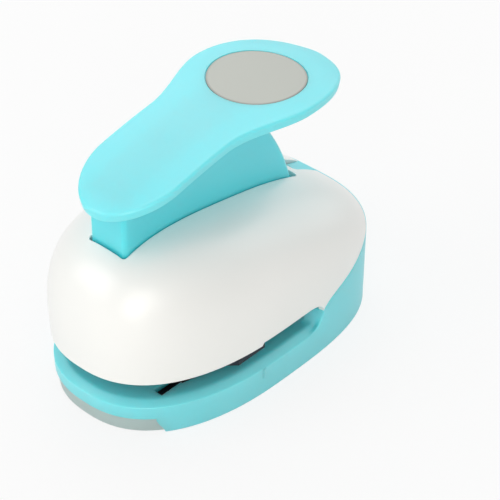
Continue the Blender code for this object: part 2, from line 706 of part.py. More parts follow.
def add_lock_tower(base, material):
    """A hollow tower from the deck to the slider's seat, open below, with a groove for the leaf spring."""
    rear = TOWER_FRONT_Y + TOWER_DEPTH
    outer = box(
        "tower",
        (-TOWER_HALF_WIDTH, TOWER_FRONT_Y, DECK_UNDERSIDE + SEAT_GAP),
        (TOWER_HALF_WIDTH, rear, LOCK_FLOOR),
        material,
    )
    fuse(base, outer)
    inner = box(
        "cutter_tower",
        (TOWER_WALL - TOWER_HALF_WIDTH, TOWER_FRONT_Y + TOWER_WALL, DECK_UNDERSIDE - OVERRUN),
        (TOWER_HALF_WIDTH - TOWER_WALL, rear - TOWER_WALL - TOWER_WALL, LOCK_FLOOR - TOWER_TOP),
        material,
    )
    cut(base, inner)
    middle = LOCK_THUMB_FRONT_Y
    groove = box(
        "cutter_leaf_groove",
        (-LEAF_HALF_WIDTH - SEAT_GAP, middle - LEAF_LENGTH / 2 - SEAT_GAP, leaf_floor() - SEAT_GAP),
        (LEAF_HALF_WIDTH + SEAT_GAP, middle + LEAF_LENGTH / 2 + SEAT_GAP, LOCK_FLOOR + OVERRUN),
        material,
    )
    cut(base, groove)


def add_tray_hinge_lugs(base, material):
    """Two lugs hang from the deck and carry the tray's hinge pin."""
    lug_half = TRAY_BARREL_RADIUS + TRAY_WALL / 3
    for side, sign in (("right", 1), ("left", -1)):
        near = TRAY_BARREL_HALF_LENGTH + RUNNING_GAP
        ends = sorted((sign * near, sign * (near + TRAY_LUG_WIDTH)))
        low = (ends[0], TRAY_HINGE_Y - lug_half, TRAY_HINGE_HEIGHT - TRAY_BARREL_RADIUS)
        high = (ends[1], TRAY_HINGE_Y + lug_half, DECK_UNDERSIDE + OVERRUN)
        fuse(base, box(f"lug_{side}", low, high, material))
    reach = TRAY_BARREL_HALF_LENGTH + TRAY_LUG_WIDTH + OVERRUN
    radius = TRAY_PIN_RADIUS + RUNNING_GAP
    hole = turned("cutter_hinge_pin", [(radius, -reach), (radius, reach)], material)
    hole.location = (0, TRAY_HINGE_Y, TRAY_HINGE_HEIGHT)
    cut(base, along_x(hole))


def cut_die_pocket(base, material):
    """The pocket of the die plate, its two leg channels and the chip hole under the die."""
    side = DIE_HALF_WIDTH + SEAT_GAP
    right = [(DIE_FRONT_HALF_WIDTH + SEAT_GAP, DIE_FRONT - SEAT_GAP)]
    right += [(side, DIE_FRONT + DIE_CORNER_DEPTH), (side, PACK_REAR + SEAT_GAP)]
    outline = right + [(-x, y) for x, y in reversed(right)]
    cut(base, prism("cutter_die_pocket", outline, DIE_FLOOR, DECK_HEIGHT + OVERRUN, material))
    for side, sign in (("right", 1), ("left", -1)):
        ends = sorted((sign * CHANNEL_INNER, sign * CHANNEL_OUTER))
        low = (ends[0], CHANNEL_FRONT, DIE_FLOOR)
        high = (ends[1], DIE_FRONT, DECK_HEIGHT + OVERRUN)
        cut(base, box(f"cutter_channel_{side}", low, high, material))
    radius = CUTTER_RADIUS + CHIP_HOLE_MARGIN
    bore(base, "chip_hole", (0, DIE_Y), radius, DECK_UNDERSIDE, DIE_FLOOR, CIRCLE_SIDES)


def cover_rings(turns):
    """Rings up the outside from the rim to the pole and back down the inside."""
    rings = []
    steps = 12
    pole = 2 - POLE_RING_SHARE
    for inset in (0.0, COVER_WALL):
        side = []
        starts = [level_at(turn, cover_rim(plan_point(turn)[1]), inset) for turn in turns]
        for step in range(steps + 1):
            share = step / steps
            ring = [meridian_point(t, mix(start, pole, share), inset) for t, start in zip(turns, starts)]
            side.append(ring)
        rings += side if inset == 0 else side[::-1]
    return rings


def slot_outline(half_width, front, rear):
    """A slot with a squared front and a rounded rear, as (x, y) points."""
    corner = half_width * SLOT_CORNER_SHARE
    rear_right = arc((half_width - corner, rear - corner), corner, 0, math.pi / 2, 5)
    rear_left = arc((corner - half_width, rear - corner), corner, math.pi / 2, math.pi, 5)
    return [(-half_width, front), (half_width, front)] + rear_right + rear_left


def column_to_dome(name, place, radius, low, material):
    """A round column up to the middle of the cover's wall, with its top shaped to the dome."""
    x, y = place
    bottom = [(x + px, y + py, low) for px, py, _ in circle(radius, 0, SMALL_SIDES)]
    top = [(px, py, dome_over(px, py, COVER_WALL / 2)) for px, py, _ in bottom]
    return loft(name, [bottom, top], material)


def top_cover(material):
    turns = station_turns()
    cover = loft("top_cover", cover_rings(turns), material, joined=True)
    front, rear = cover_screw_places()
    for name, place in front.items():
        add_cover_boss(cover, name, place, GUIDE_TOP + SEAT_GAP, GUIDE_UNDERSIDE, material)
    for name, place in rear.items():
        add_cover_boss(cover, name, place, base_top(place[1]) + PARTING_GAP, DECK_UNDERSIDE, material)
    outline = slot_outline(
        STEM_HALF_WIDTH + SLOT_SIDE_GAP,
        PIVOT_Y - STEM_FRONT_OFFSET - SLOT_FRONT_GAP,
        PIVOT_Y + STEM_REAR_RADIUS + SLOT_REAR_GAP,
    )
    high = SHOULDER_HEIGHT + DOME_FRONT_RISE
    cut(cover, prism("cutter_lever_slot", outline, SHOULDER_HEIGHT, high, material))
    half = LOCK_HALF_WIDTH + LOCK_SLOT_GAP
    low = (-half, LOCK_THUMB_FRONT_Y - LOCK_TRAVEL - LOCK_SLOT_GAP, SHOULDER_HEIGHT)
    cut(cover, box("cutter_lock_slot", low, (half, BODY_HALF_LENGTH + OVERRUN, high), material))
    return cover


def add_cover_boss(cover, name, place, low, screw_from, material):
    fuse(cover, column_to_dome(f"boss_column_{name}", place, COVER_BOSS_RADIUS, low, material))
    bore(cover, f"screw_{name}", place, COVER_SCREW_SHANK + RUNNING_GAP, low, cover_screw_tip(screw_from))


def cover_screw_tip(seat):
    """Height of a cover screw's tip: its grip past whatever it holds."""
    return seat + (base_top(COVER_REAR_BOSS[1]) - DECK_UNDERSIDE) + COVER_SCREW_GRIP


def cover_screws(material):
    front, rear = cover_screw_places()
    for places, seat in ((front, GUIDE_UNDERSIDE), (rear, DECK_UNDERSIDE)):
        for name, (x, y) in places.items():
            face = seat + SEAT_GAP if places is front else seat - COVER_SCREW_HEAD
            profile = screw_profile(face, cover_screw_tip(seat), COVER_SCREW_HEAD, COVER_SCREW_SHANK)
            turned(f"cover_screw_{name}", profile, material, (x, y, 0))


def die_plate(material):
    """The lower steel plate with the die hole and two legs that run forward in the deck's channels."""
    leg_outer = CHANNEL_OUTER - SEAT_GAP
    leg_inner = leg_outer - LEG_WIDTH
    leg_front = CHANNEL_FRONT + SEAT_GAP
    right = [(leg_inner, DIE_FRONT), (leg_inner, leg_front), (leg_outer, leg_front), (leg_outer, DIE_FRONT)]
    right += [(DIE_FRONT_HALF_WIDTH, DIE_FRONT), (DIE_HALF_WIDTH, DIE_FRONT + DIE_CORNER_DEPTH)]
    right.append((DIE_HALF_WIDTH, PACK_REAR))
    outline = right + [(-x, y) for x, y in reversed(right)]
    low = DECK_HEIGHT - DIE_THICKNESS
    plate = prism("die_plate", outline, low, DECK_HEIGHT, material)
    bore(plate, "die", (0, DIE_Y), CUTTER_RADIUS + RUNNING_GAP, low, DECK_HEIGHT, CIRCLE_SIDES)
    cut_rivet_holes(plate, low, DECK_HEIGHT)
    front, rear = die_screw_places()
    for name, (x, y) in front.items():
        face = DECK_HEIGHT - SEAT_GAP
        tip = low - OVERRUN
        profile = screw_profile(face, tip, DIE_SCREW_HEAD, DIE_SCREW_SHANK, RUNNING_GAP)
        cut(plate, turned(f"cutter_sink_{name}", profile, material, (x, y, 0)))
    for name, place in rear.items():
        bore(plate, f"screw_{name}", place, DIE_SCREW_SHANK + RUNNING_GAP, low, DECK_HEIGHT)
    return plate


def cut_rivet_holes(plate, low, high):
    for name, place in rivet_places().items():
        bore(plate, f"rivet_{name}", place, RIVET_SHANK + RUNNING_GAP, low, high)


def throat_spacer(material):
    low = DECK_HEIGHT + SEAT_GAP
    high = GUIDE_UNDERSIDE - SEAT_GAP
    near = (-DIE_HALF_WIDTH, SPACER_FRONT, low)
    spacer = box("throat_spacer", near, (DIE_HALF_WIDTH, PACK_REAR, high), material)
    cut_rivet_holes(spacer, low, high)
    for name, place in die_screw_places()[1].items():
        bore(spacer, f"screw_{name}", place, DIE_SCREW_SHANK + RUNNING_GAP, low, high)
    return spacer


def guide_plate(material):
    """The upper steel plate: guide hole, side ears for the posts, and a front tongue for the pivot yoke."""
    ear_x = GUIDE_HALF_WIDTH + GUIDE_EAR_REACH
    ear_front = DIE_Y - GUIDE_EAR_FRONT
    ear_rear = DIE_Y + GUIDE_EAR_REAR
    right = [(TONGUE_HALF_WIDTH, TONGUE_FRONT), (TONGUE_HALF_WIDTH, GUIDE_FRONT)]
    right.append((GUIDE_HALF_WIDTH - GUIDE_CORNER, GUIDE_FRONT))
    right += [(GUIDE_HALF_WIDTH, ear_front - GUIDE_EAR_REACH), (ear_x, ear_front), (ear_x, ear_rear)]
    right += [(GUIDE_HALF_WIDTH, ear_rear + GUIDE_EAR_REACH), (GUIDE_HALF_WIDTH, PACK_REAR)]
    outline = right + [(-x, y) for x, y in reversed(right)]
    plate = prism("guide_plate", outline, GUIDE_UNDERSIDE, GUIDE_TOP, material)
    radius = CUTTER_RADIUS + RUNNING_GAP
    bore(plate, "guide", (0, DIE_Y), radius, GUIDE_UNDERSIDE, GUIDE_TOP, CIRCLE_SIDES)
    cut_rivet_holes(plate, GUIDE_UNDERSIDE, GUIDE_TOP)
    shank = DIE_SCREW_SHANK + RUNNING_GAP
    for name, place in die_screw_places()[1].items():
        bore(plate, f"screw_{name}", place, shank, GUIDE_UNDERSIDE, GUIDE_TOP)
    for name, place in both_sides({"post_": (POST_X, DIE_Y), "yoke_": (BRACKET_RIVET_X, PIVOT_Y)}):
        radius = POST_SPIGOT if name.startswith("post") else RIVET_SHANK
        bore(plate, name, place, radius + SEAT_GAP, GUIDE_UNDERSIDE, GUIDE_TOP)
    for name, (x, y) in cover_screw_places()[0].items():
        face = GUIDE_UNDERSIDE + SEAT_GAP
        profile = screw_profile(face, GUIDE_TOP + OVERRUN, COVER_SCREW_HEAD, COVER_SCREW_SHANK, RUNNING_GAP)
        cut(plate, turned(f"cutter_cover_sink_{name}", profile, material, (x, y, 0)))
    return plate


def die_rivets(material):
    for name, (x, y) in rivet_places().items():
        seat = GUIDE_TOP + SEAT_GAP
        low = DECK_HEIGHT - DIE_THICKNESS + SEAT_GAP
        profile = [(RIVET_SHANK, low), (RIVET_SHANK, seat), (RIVET_HEAD, seat)]
        profile.append((RIVET_HEAD * RIVET_CROWN_SHARE, seat + RIVET_HEAD_HEIGHT))
        turned(f"die_rivet_{name}", profile, material, (x, y, 0))


def die_screws(material):
    front, rear = die_screw_places()
    for name, (x, y) in front.items():
        face = DECK_HEIGHT - SEAT_GAP
        profile = screw_profile(face, face - DIE_SCREW_LENGTH, DIE_SCREW_HEAD, DIE_SCREW_SHANK)
        turned(f"die_screw_{name}", profile, material, (x, y, 0))
    for name, (x, y) in rear.items():
        seat = GUIDE_TOP + SEAT_GAP
        tip = DECK_HEIGHT - DIE_SCREW_LENGTH
        top = seat + DIE_SCREW_HEAD_HEIGHT
        profile = [(DIE_SCREW_SHANK, tip), (DIE_SCREW_SHANK, seat)]
        profile += [(DIE_SCREW_HEAD, seat), (DIE_SCREW_HEAD, top)]
        turned(f"die_screw_{name}", profile, material, (x, y, 0))


def wave_ring(radius, height, depth):
    """A ring whose height dips twice, so that the edge cuts like scissors."""
    points = circle(radius, height, CIRCLE_SIDES)
    return [(x, y, z + depth * (x / radius) ** 2) for x, y, z in points]


def punch_cutter(material):
    """A round cup with a thick web and a waved rim that is sharp at its outside."""
    inner = CUTTER_RADIUS - CUTTER_WALL
    web_low = CUTTER_TOP - CUTTER_WALL
    edge = CUTTER_TOP - CUTTER_LAND
    rings = [
        circle(inner, web_low, CIRCLE_SIDES),
        wave_ring(inner, CUTTER_BOTTOM + CUTTER_LAND, CUTTER_WAVE),
        wave_ring(CUTTER_RADIUS, CUTTER_BOTTOM, CUTTER_WAVE),
        circle(CUTTER_RADIUS, edge, CIRCLE_SIDES),
        circle(CUTTER_RADIUS - CUTTER_LAND, CUTTER_TOP, CIRCLE_SIDES),
    ]
    cutter = loft("punch_cutter", rings, material)
    cutter.location = (0, DIE_Y, 0)
    for name, place in both_sides({"screw_": (CUTTER_SCREW_X, DIE_Y)}):
        bore(cutter, name, place, CUTTER_SCREW_SHANK + RUNNING_GAP, web_low, CUTTER_TOP)
    return cutter


def punch_head(material):
    """A round plate with an ear at each side, bored for its post and pocketed for its spring."""
    radius = CUTTER_RADIUS + HEAD_MARGIN
    place = (0, DIE_Y, 0)
    head = turned("punch_head", [(radius, HEAD_BOTTOM), (radius, HEAD_TOP)], material, place, CIRCLE_SIDES)
    for name, (x, y) in both_sides({"ear_": (POST_X, DIE_Y)}):
        ear = [(EAR_RADIUS, HEAD_BOTTOM), (EAR_RADIUS, EAR_TOP)]
        fuse(head, turned(name, ear, material, (x, y, 0), EAR_SIDES))
        pocket = SPRING_RADIUS + SPRING_WIRE + SEAT_GAP
        roof = EAR_TOP - SPRING_ROOF
        tool = [(pocket, HEAD_BOTTOM - OVERRUN), (pocket, roof)]
        cut(head, turned(f"cutter_pocket_{name}", tool, material, (x, y, 0)))
        bore(head, f"post_{name}", (x, y), POST_RADIUS + RUNNING_GAP, roof, EAR_TOP)
    for name, (x, y) in both_sides({"screw_": (CUTTER_SCREW_X, DIE_Y)}):
        face = HEAD_TOP - SEAT_GAP
        tip = HEAD_BOTTOM - OVERRUN
        profile = screw_profile(face, tip, CUTTER_SCREW_HEAD, CUTTER_SCREW_SHANK, RUNNING_GAP)
        cut(head, turned(f"cutter_sink_{name}", profile, material, (x, y, 0)))
    return head


def cutter_screws(material):
    made = []
    for name, (x, y) in both_sides({"": (CUTTER_SCREW_X, DIE_Y)}):
        face = HEAD_TOP - SEAT_GAP
        profile = screw_profile(face, face - CUTTER_SCREW_LENGTH, CUTTER_SCREW_HEAD, CUTTER_SCREW_SHANK)
        made.append(turned(f"cutter_screw_{name}", profile, material, (x, y, 0)))
    return made


def wear_plate(material):
    low = (-WEAR_PLATE_HALF_WIDTH, DIE_Y - WEAR_PLATE_HALF_LENGTH, HEAD_TOP + SEAT_GAP)
    high = (WEAR_PLATE_HALF_WIDTH, DIE_Y + WEAR_PLATE_HALF_LENGTH, WEAR_TOP)
    return box("wear_plate", low, high, material)


def guide_posts(material):
    for name, (x, y) in both_sides({"": (POST_X, DIE_Y)}):
        shoulder = SPRING_BOTTOM + POST_SHOULDER_HEIGHT
        top = EAR_TOP + POST_TOP_ABOVE_EAR
        profile = [(POST_SPIGOT, GUIDE_UNDERSIDE + SEAT_GAP), (POST_SPIGOT, SPRING_BOTTOM)]
        profile += [(POST_SHOULDER, SPRING_BOTTOM), (POST_SHOULDER, shoulder), (POST_RADIUS, shoulder)]
        profile += [(POST_RADIUS, top - SPRING_WIRE), (POST_RADIUS - SPRING_WIRE, top)]
        turned(f"guide_post_{name}", profile, material, (x, y, 0))


def spring_points():
    """The centre line of a return spring: an even helix between its two seats."""
    low = SPRING_BOTTOM + SPRING_WIRE
    rise = SPRING_TOP - SPRING_WIRE - low
    count = round(SPRING_TURNS * SPRING_POINTS_A_TURN)
    points = []
    for i in range(count + 1):
        turn = 2 * math.pi * SPRING_TURNS * i / count
        place = (SPRING_RADIUS * math.cos(turn), SPRING_RADIUS * math.sin(turn), low + rise * i / count)
        points.append(place)
    return points


def return_springs(material):
    points = spring_points()
    apart = SPRING_POINTS_A_TURN // 2
    nearest = min(math.dist(a, b) for i, a in enumerate(points) for b in points[i + apart :])
    print(f"return springs: least gap between turns {nearest - 2 * SPRING_WIRE:.5f} m")
    for name, (x, y) in both_sides({"": (POST_X, DIE_Y)}):
        curve = bpy.data.curves.new(f"return_spring_{name}", "CURVE")
        curve.dimensions = "3D"
        line = curve.splines.new("POLY")
        line.points.add(len(points) - 1)
        for point, place in zip(line.points, points):
            point.co = (*place, 1.0)
        curve.bevel_depth = SPRING_WIRE
        curve.bevel_resolution = 1
        curve.use_fill_caps = True
        curve.materials.append(material)
        spring = bpy.data.objects.new(f"return_spring_{name}", curve)
        spring.location = (x, y, 0)
        bpy.context.collection.objects.link(spring)


def pivot_bracket(material):
    """A bent yoke: a floor riveted to the tongue and two cheeks with eyes for the axle."""
    low = GUIDE_TOP + SEAT_GAP
    floor_top = low + BRACKET_THICKNESS
    front = PIVOT_Y - BRACKET_HALF_LENGTH
    rear = PIVOT_Y + BRACKET_HALF_LENGTH
    floor = box("pivot_bracket", (-CHEEK_OUTER, front, low), (CHEEK_OUTER, rear, floor_top), material)
    eye = arc((PIVOT_Y, PIVOT_HEIGHT), BRACKET_EYE_RADIUS, 0, math.pi, 12)
    outline = [(front, low), (rear, low)] + eye
    for side, sign in (("right", 1), ("left", -1)):
        ends = sorted((sign * CHEEK_INNER, sign * CHEEK_OUTER))
        fuse(floor, side_prism(f"cheek_{side}", outline, ends[0], ends[1], material))
    reach = CHEEK_OUTER + OVERRUN
    radius = AXLE_RADIUS + RUNNING_GAP
    hole = turned("cutter_axle_eyes", [(radius, -reach), (radius, reach)], material)
    hole.location = (0, PIVOT_Y, PIVOT_HEIGHT)
    cut(floor, along_x(hole))
    for name, place in both_sides({"rivet_": (BRACKET_RIVET_X, PIVOT_Y)}):
        bore(floor, name, place, RIVET_SHANK + RUNNING_GAP, low, floor_top)
    return floor


def bracket_rivets(material):
    seat = GUIDE_TOP + SEAT_GAP + BRACKET_THICKNESS + SEAT_GAP
    for name, (x, y) in both_sides({"": (BRACKET_RIVET_X, PIVOT_Y)}):
        low = GUIDE_UNDERSIDE + SEAT_GAP
        profile = [(RIVET_SHANK, low), (RIVET_SHANK, seat), (RIVET_HEAD, seat)]
        profile.append((RIVET_HEAD * RIVET_CROWN_SHARE, seat + RIVET_HEAD_HEIGHT))
        turned(f"bracket_rivet_{name}", profile, material, (x, y, 0))


def pivot_axle(material):
    """A pin with a groove near each end for its clip."""
    half = CHEEK_OUTER + AXLE_OVERHANG
    near = CHEEK_OUTER + SEAT_GAP / 2
    far = near + CLIP_THICKNESS + SEAT_GAP
    groove = AXLE_RADIUS - CLIP_GROOVE_DEPTH
    right = [(AXLE_RADIUS, near), (groove, near), (groove, far), (AXLE_RADIUS, far), (AXLE_RADIUS, half)]
    profile = [(radius, -x) for radius, x in reversed(right)] + right
    return along_x(turned("pivot_axle", profile, material, (0, PIVOT_Y, PIVOT_HEIGHT)))


def axle_clips(material):
    """Open rings that snap into the axle's grooves."""
    start = CLIP_OPENING / 2
    end = 2 * math.pi - start
    inner = AXLE_RADIUS - CLIP_GROOVE_DEPTH + RUNNING_GAP
    outline = arc((0, 0), CLIP_RADIUS, start, end, 20) + arc((0, 0), inner, end, start, 20)
    for side, sign in (("right", 1), ("left", -1)):
        near = CHEEK_OUTER + SEAT_GAP
        ends = sorted((sign * near, sign * (near + CLIP_THICKNESS)))
        clip = prism(f"axle_clip_{side}", outline, ends[0], ends[1], material)
        clip.location = (0, PIVOT_Y, PIVOT_HEIGHT)
        along_x(clip)


def pivot_bushes(material):
    """Flat bushes between the lever's boss and the yoke's cheeks."""
    bore_radius = AXLE_RADIUS + RUNNING_GAP
    for side, sign in (("right", 1), ("left", -1)):
        near = sign * (STEM_HALF_WIDTH + RUNNING_GAP)
        far = near + sign * BUSH_THICKNESS
        profile = [(BUSH_RADIUS, near), (BUSH_RADIUS, far), (bore_radius, far), (bore_radius, near)]
        place = (0, PIVOT_Y, PIVOT_HEIGHT)
        along_x(turned(f"pivot_bush_{side}", profile, material, place, bored=True))


def smooth_step(share):
    share = min(max(share, 0.0), 1.0)
    return share * share * (3 - 2 * share)


def paddle_half_width(y):
    """Half-width of the paddle: a narrow front, a smooth swell to the rear, and rounded tips."""
    swell = smooth_step((y - PADDLE_WAIST_Y) / (PADDLE_WIDEST_Y - PADDLE_WAIST_Y))
    width = mix(PADDLE_FRONT_HALF_WIDTH, PADDLE_REAR_HALF_WIDTH, swell)
    front_in = (PADDLE_FRONT_TIP + PADDLE_FRONT_ROUND - y) / PADDLE_FRONT_ROUND
    rear_in = (y - PADDLE_WIDEST_Y) / (PADDLE_REAR_TIP - PADDLE_WIDEST_Y)
    for share, exponent in ((front_in, PADDLE_FRONT_EXPONENT), (rear_in, PADDLE_REAR_EXPONENT)):
        if share > 0:
            width *= max(0.0, 1 - min(share, 1.0) ** exponent) ** (1 / exponent)
    return width


def paddle_top(y):
    """Height of the paddle's arch along its middle."""
    if y < PADDLE_WIDEST_Y:
        share = (PADDLE_WIDEST_Y - y) / (PADDLE_WIDEST_Y - PADDLE_FRONT_TIP)
        return PADDLE_CREST - PADDLE_FRONT_DROP * share**PADDLE_ARCH_EXPONENT
    share = (y - PADDLE_WIDEST_Y) / (PADDLE_REAR_TIP - PADDLE_WIDEST_Y)
    return PADDLE_CREST - PADDLE_REAR_DROP * share * share


def paddle_section(y):
    """One cross-section of the paddle: crowned top, rounded edge, upright side and a recessed underside."""
    width = paddle_half_width(y)
    top = paddle_top(y)
    edge = min(PADDLE_EDGE_ROUND, width / 3)
    rim = min(PADDLE_RIM, width / 2)
    recess = PADDLE_RECESS * min(1.0, width / PADDLE_FRONT_HALF_WIDTH)
    bevel = edge * EDGE_BEVEL_SHARE
    flat = width - edge
    crown = PADDLE_CROWN * min(1.0, width / PADDLE_FRONT_HALF_WIDTH)
    middle = [(flat * share, top + crown * (1 - share * share)) for share in PADDLE_CROWN_SHARES]
    right = [(flat, top), (width - bevel, top - bevel), (width, top - edge)]
    right += [(width, top - PADDLE_EDGE), (width - rim, top - PADDLE_EDGE)]
    right += [(width - rim - recess, top - PADDLE_EDGE + recess)]
    right = middle[::-1] + right
    return [(x, y, z) for x, z in right] + [(-x, y, z) for x, z in reversed(right)] + [(0, y, top + crown)]


def lever_side(inset):
    """The lever's side view as (y, z) points, its front and rear faces drawn in by inset."""
    front = PIVOT_Y - STEM_FRONT_OFFSET + inset
    rear = STEM_REAR_RADIUS - inset
    low_z = WEAR_TOP + RUNNING_GAP + NOSE_RELIEF
    rear_z = LOCK_FLOOR - STEM_HEEL_DROP
    pivot = (PIVOT_Y, PIVOT_HEIGHT)
    nose = (DIE_Y, WEAR_TOP + RUNNING_GAP + NOSE_RADIUS)
    front_turn = math.pi - math.acos((STEM_FRONT_OFFSET - inset) / LEVER_BOSS_RADIUS)
    points = arc(pivot, LEVER_BOSS_RADIUS, front_turn, 2 * math.pi + LEVER_BOSS_REAR_TURN, 14)
    points.append((PIVOT_Y + 2 * LEVER_BOSS_RADIUS, low_z))
    nose_turn = math.asin((low_z - nose[1]) / NOSE_RADIUS)
    points += arc(nose, NOSE_RADIUS, math.pi - nose_turn, 2 * math.pi + nose_turn, 8)
    points.append((DIE_Y + CUTTER_RADIUS, rear_z))
    low_turn = math.asin((rear_z - PIVOT_HEIGHT) / rear)
    high_turn = math.asin((paddle_top(0) - PADDLE_EDGE - PIVOT_HEIGHT) / rear)
    points += arc(pivot, rear, low_turn, high_turn, 14)
    last = points[-1][0]
    steps = 6
    for i in range(steps + 1):
        y = mix(last, front, i / steps)
        points.append((y, paddle_top(y) - PADDLE_EDGE / 2))
    return points


def lever_stem(material):
    """The flat stem with its boss and nose: a stack of side views whose outer ones are drawn in."""
    rings = []
    right = [(x, inset) for x, inset in reversed(STEM_SECTION_SHARES)]
    places = [(-x, inset) for x, inset in STEM_SECTION_SHARES] + right
    for x, inset in places:
        outline = lever_side(inset * STEM_CORNER)
        rings.append([(x * STEM_HALF_WIDTH, y, z) for y, z in outline])
    return loft("stem", rings, material)


def stem_hollow(material):
    """The hollow that leaves the stem a wall all round, open at the bottom behind the nose."""
    front = PIVOT_Y - STEM_FRONT_OFFSET + STEM_WALL
    rear = STEM_REAR_RADIUS - STEM_WALL - LOCK_POCKET_DEPTH
    rear_z = LOCK_FLOOR - STEM_HEEL_DROP
    boss_top = PIVOT_HEIGHT + 2 * LEVER_BOSS_RADIUS
    high_turn = math.asin((paddle_top(0) - 2 * PADDLE_EDGE - PIVOT_HEIGHT) / rear)
    low_turn = math.asin((rear_z - OVERRUN - PIVOT_HEIGHT) / rear)
    outline = arc((PIVOT_Y, PIVOT_HEIGHT), rear, low_turn, high_turn, 8)
    outline.append((front, paddle_top(front) - 2 * PADDLE_EDGE))
    outline += [(front, boss_top), (DIE_Y, boss_top), (DIE_Y + CUTTER_RADIUS, boss_top)]
    outline.append((DIE_Y + CUTTER_RADIUS + STEM_WALL, rear_z - OVERRUN))
    half = STEM_HALF_WIDTH - STEM_WALL
    return side_prism("cutter_stem_hollow", outline, -half, half, material)


def lock_pocket(name, polar, height, material):
    """A block that cuts a pocket in the stem's rear face, at an angle about the pivot."""
    half = height / 2
    low = STEM_REAR_RADIUS - LOCK_POCKET_DEPTH
    high = STEM_REAR_RADIUS + OVERRUN
    outline = [(low, -half), (high, -half), (high, half), (low, half)]
    width = LOCK_TONGUE_HALF_WIDTH + LOCK_SLOT_GAP
    block = side_prism(name, outline, -width, width, material)
    block.location = (0, PIVOT_Y, PIVOT_HEIGHT)
    block.rotation_euler = (polar, 0, 0)
    return block


def lever_handle(material):
    """Paddle and stem in one moulding, with the axle hole, the disc's recess and two lock pockets."""
    length = PADDLE_REAR_TIP - PADDLE_FRONT_TIP
    steps = PADDLE_SECTIONS - 1 + 2 * PADDLE_TIP_SHARE
    turns = [math.pi * (i + PADDLE_TIP_SHARE) / steps for i in range(PADDLE_SECTIONS)]
    places = [PADDLE_FRONT_TIP + length * (1 - math.cos(turn)) / 2 for turn in turns]
    handle = loft("lever_handle", [paddle_section(y) for y in places], material)
    fuse(handle, lever_stem(material))
    cut(handle, stem_hollow(material))
    radius = AXLE_RADIUS + RUNNING_GAP
    reach = STEM_HALF_WIDTH + OVERRUN
    hole = turned("cutter_lever_eye", [(radius, -reach), (radius, reach)], material)
    hole.location = (0, PIVOT_Y, PIVOT_HEIGHT)
    cut(handle, along_x(hole))
    floor = disc_bottom() - SEAT_GAP
    bore(handle, "disc", (0, DISC_Y), DISC_RADIUS + SEAT_GAP, floor + OVERRUN, PADDLE_SUMMIT, CIRCLE_SIDES)
    middle = (LOCK_PLATE_BOTTOM + LOCK_PLATE_TOP) / 2 - PIVOT_HEIGHT
    polar = math.asin(middle / STEM_REAR_RADIUS)
    height = LOCK_PLATE_THICKNESS + 4 * LOCK_SLOT_GAP
    cut(handle, lock_pocket("cutter_lock_pocket_up", polar, height, material))
    cut(handle, lock_pocket("cutter_lock_pocket_down", polar + LEVER_SWING, height, material))
    return handle


def disc_bottom():
    return PADDLE_SUMMIT - DISC_BELOW_CREST - DISC_THICKNESS


def size_label_disc(material):
    low = disc_bottom()
    profile = [(DISC_RADIUS, low), (DISC_RADIUS, low + DISC_THICKNESS)]
    return turned("size_label_disc", profile, material, (0, DISC_Y, 0), CIRCLE_SIDES)


def lock_slider(material):
    """A flat slider with a tongue in front and a thumb block that stands through the cover."""
    plate_front = LOCK_TIP_Y + LOCK_TONGUE_LENGTH
    half = LOCK_HALF_WIDTH
    tongue = LOCK_TONGUE_HALF_WIDTH
    right = [(tongue, LOCK_TIP_Y), (tongue, plate_front), (half, plate_front), (half, LOCK_REAR_Y)]
    outline = right + [(-x, y) for x, y in reversed(right)]
    slider = prism("lock_slider", outline, LOCK_PLATE_BOTTOM, LOCK_PLATE_TOP, material)
    low = LOCK_PLATE_BOTTOM + LOCK_PLATE_THICKNESS / 2
    front_z = LOCK_PLATE_TOP + LOCK_THUMB_FRONT_RISE
    rear_z = LOCK_PLATE_TOP + LOCK_THUMB_REAR_RISE
    ease = LOCK_SLOT_GAP
    side = [(LOCK_THUMB_FRONT_Y, low), (LOCK_REAR_Y, low), (LOCK_REAR_Y, rear_z - ease)]
    side += [(LOCK_REAR_Y - ease, rear_z), (LOCK_THUMB_FRONT_Y + ease, front_z)]
    side.append((LOCK_THUMB_FRONT_Y, front_z - ease))
    fuse(slider, side_prism("thumb_block", side, -half, half, material))
    return slider


def leaf_floor():
    """Lowest height of the leaf spring, whose crown just clears the slider."""
    return LOCK_FLOOR - LEAF_ARCH - LEAF_THICKNESS


def lock_leaf_spring(material):
    """A thin arched strip under the slider that holds it at either end of its travel."""
    steps = 8
    top = []
    for i in range(steps + 1):
        share = 2 * i / steps - 1
        y = LOCK_THUMB_FRONT_Y + share * LEAF_LENGTH / 2
        top.append((y, leaf_floor() + LEAF_THICKNESS + LEAF_ARCH * (1 - share * share)))
    bottom = [(y, z - LEAF_THICKNESS) for y, z in reversed(top)]
    return side_prism("lock_leaf_spring", top + bottom, -LEAF_HALF_WIDTH, LEAF_HALF_WIDTH, material)


def tray_outline(inset):
    """The tray's outline inside the base, straight across at its rear."""
    rear = TRAY_REAR_Y - (inset - TRAY_INSET)
    return plan_outline(inset, TRAY_FLOOR_HEIGHT, rear, keep_front=True)


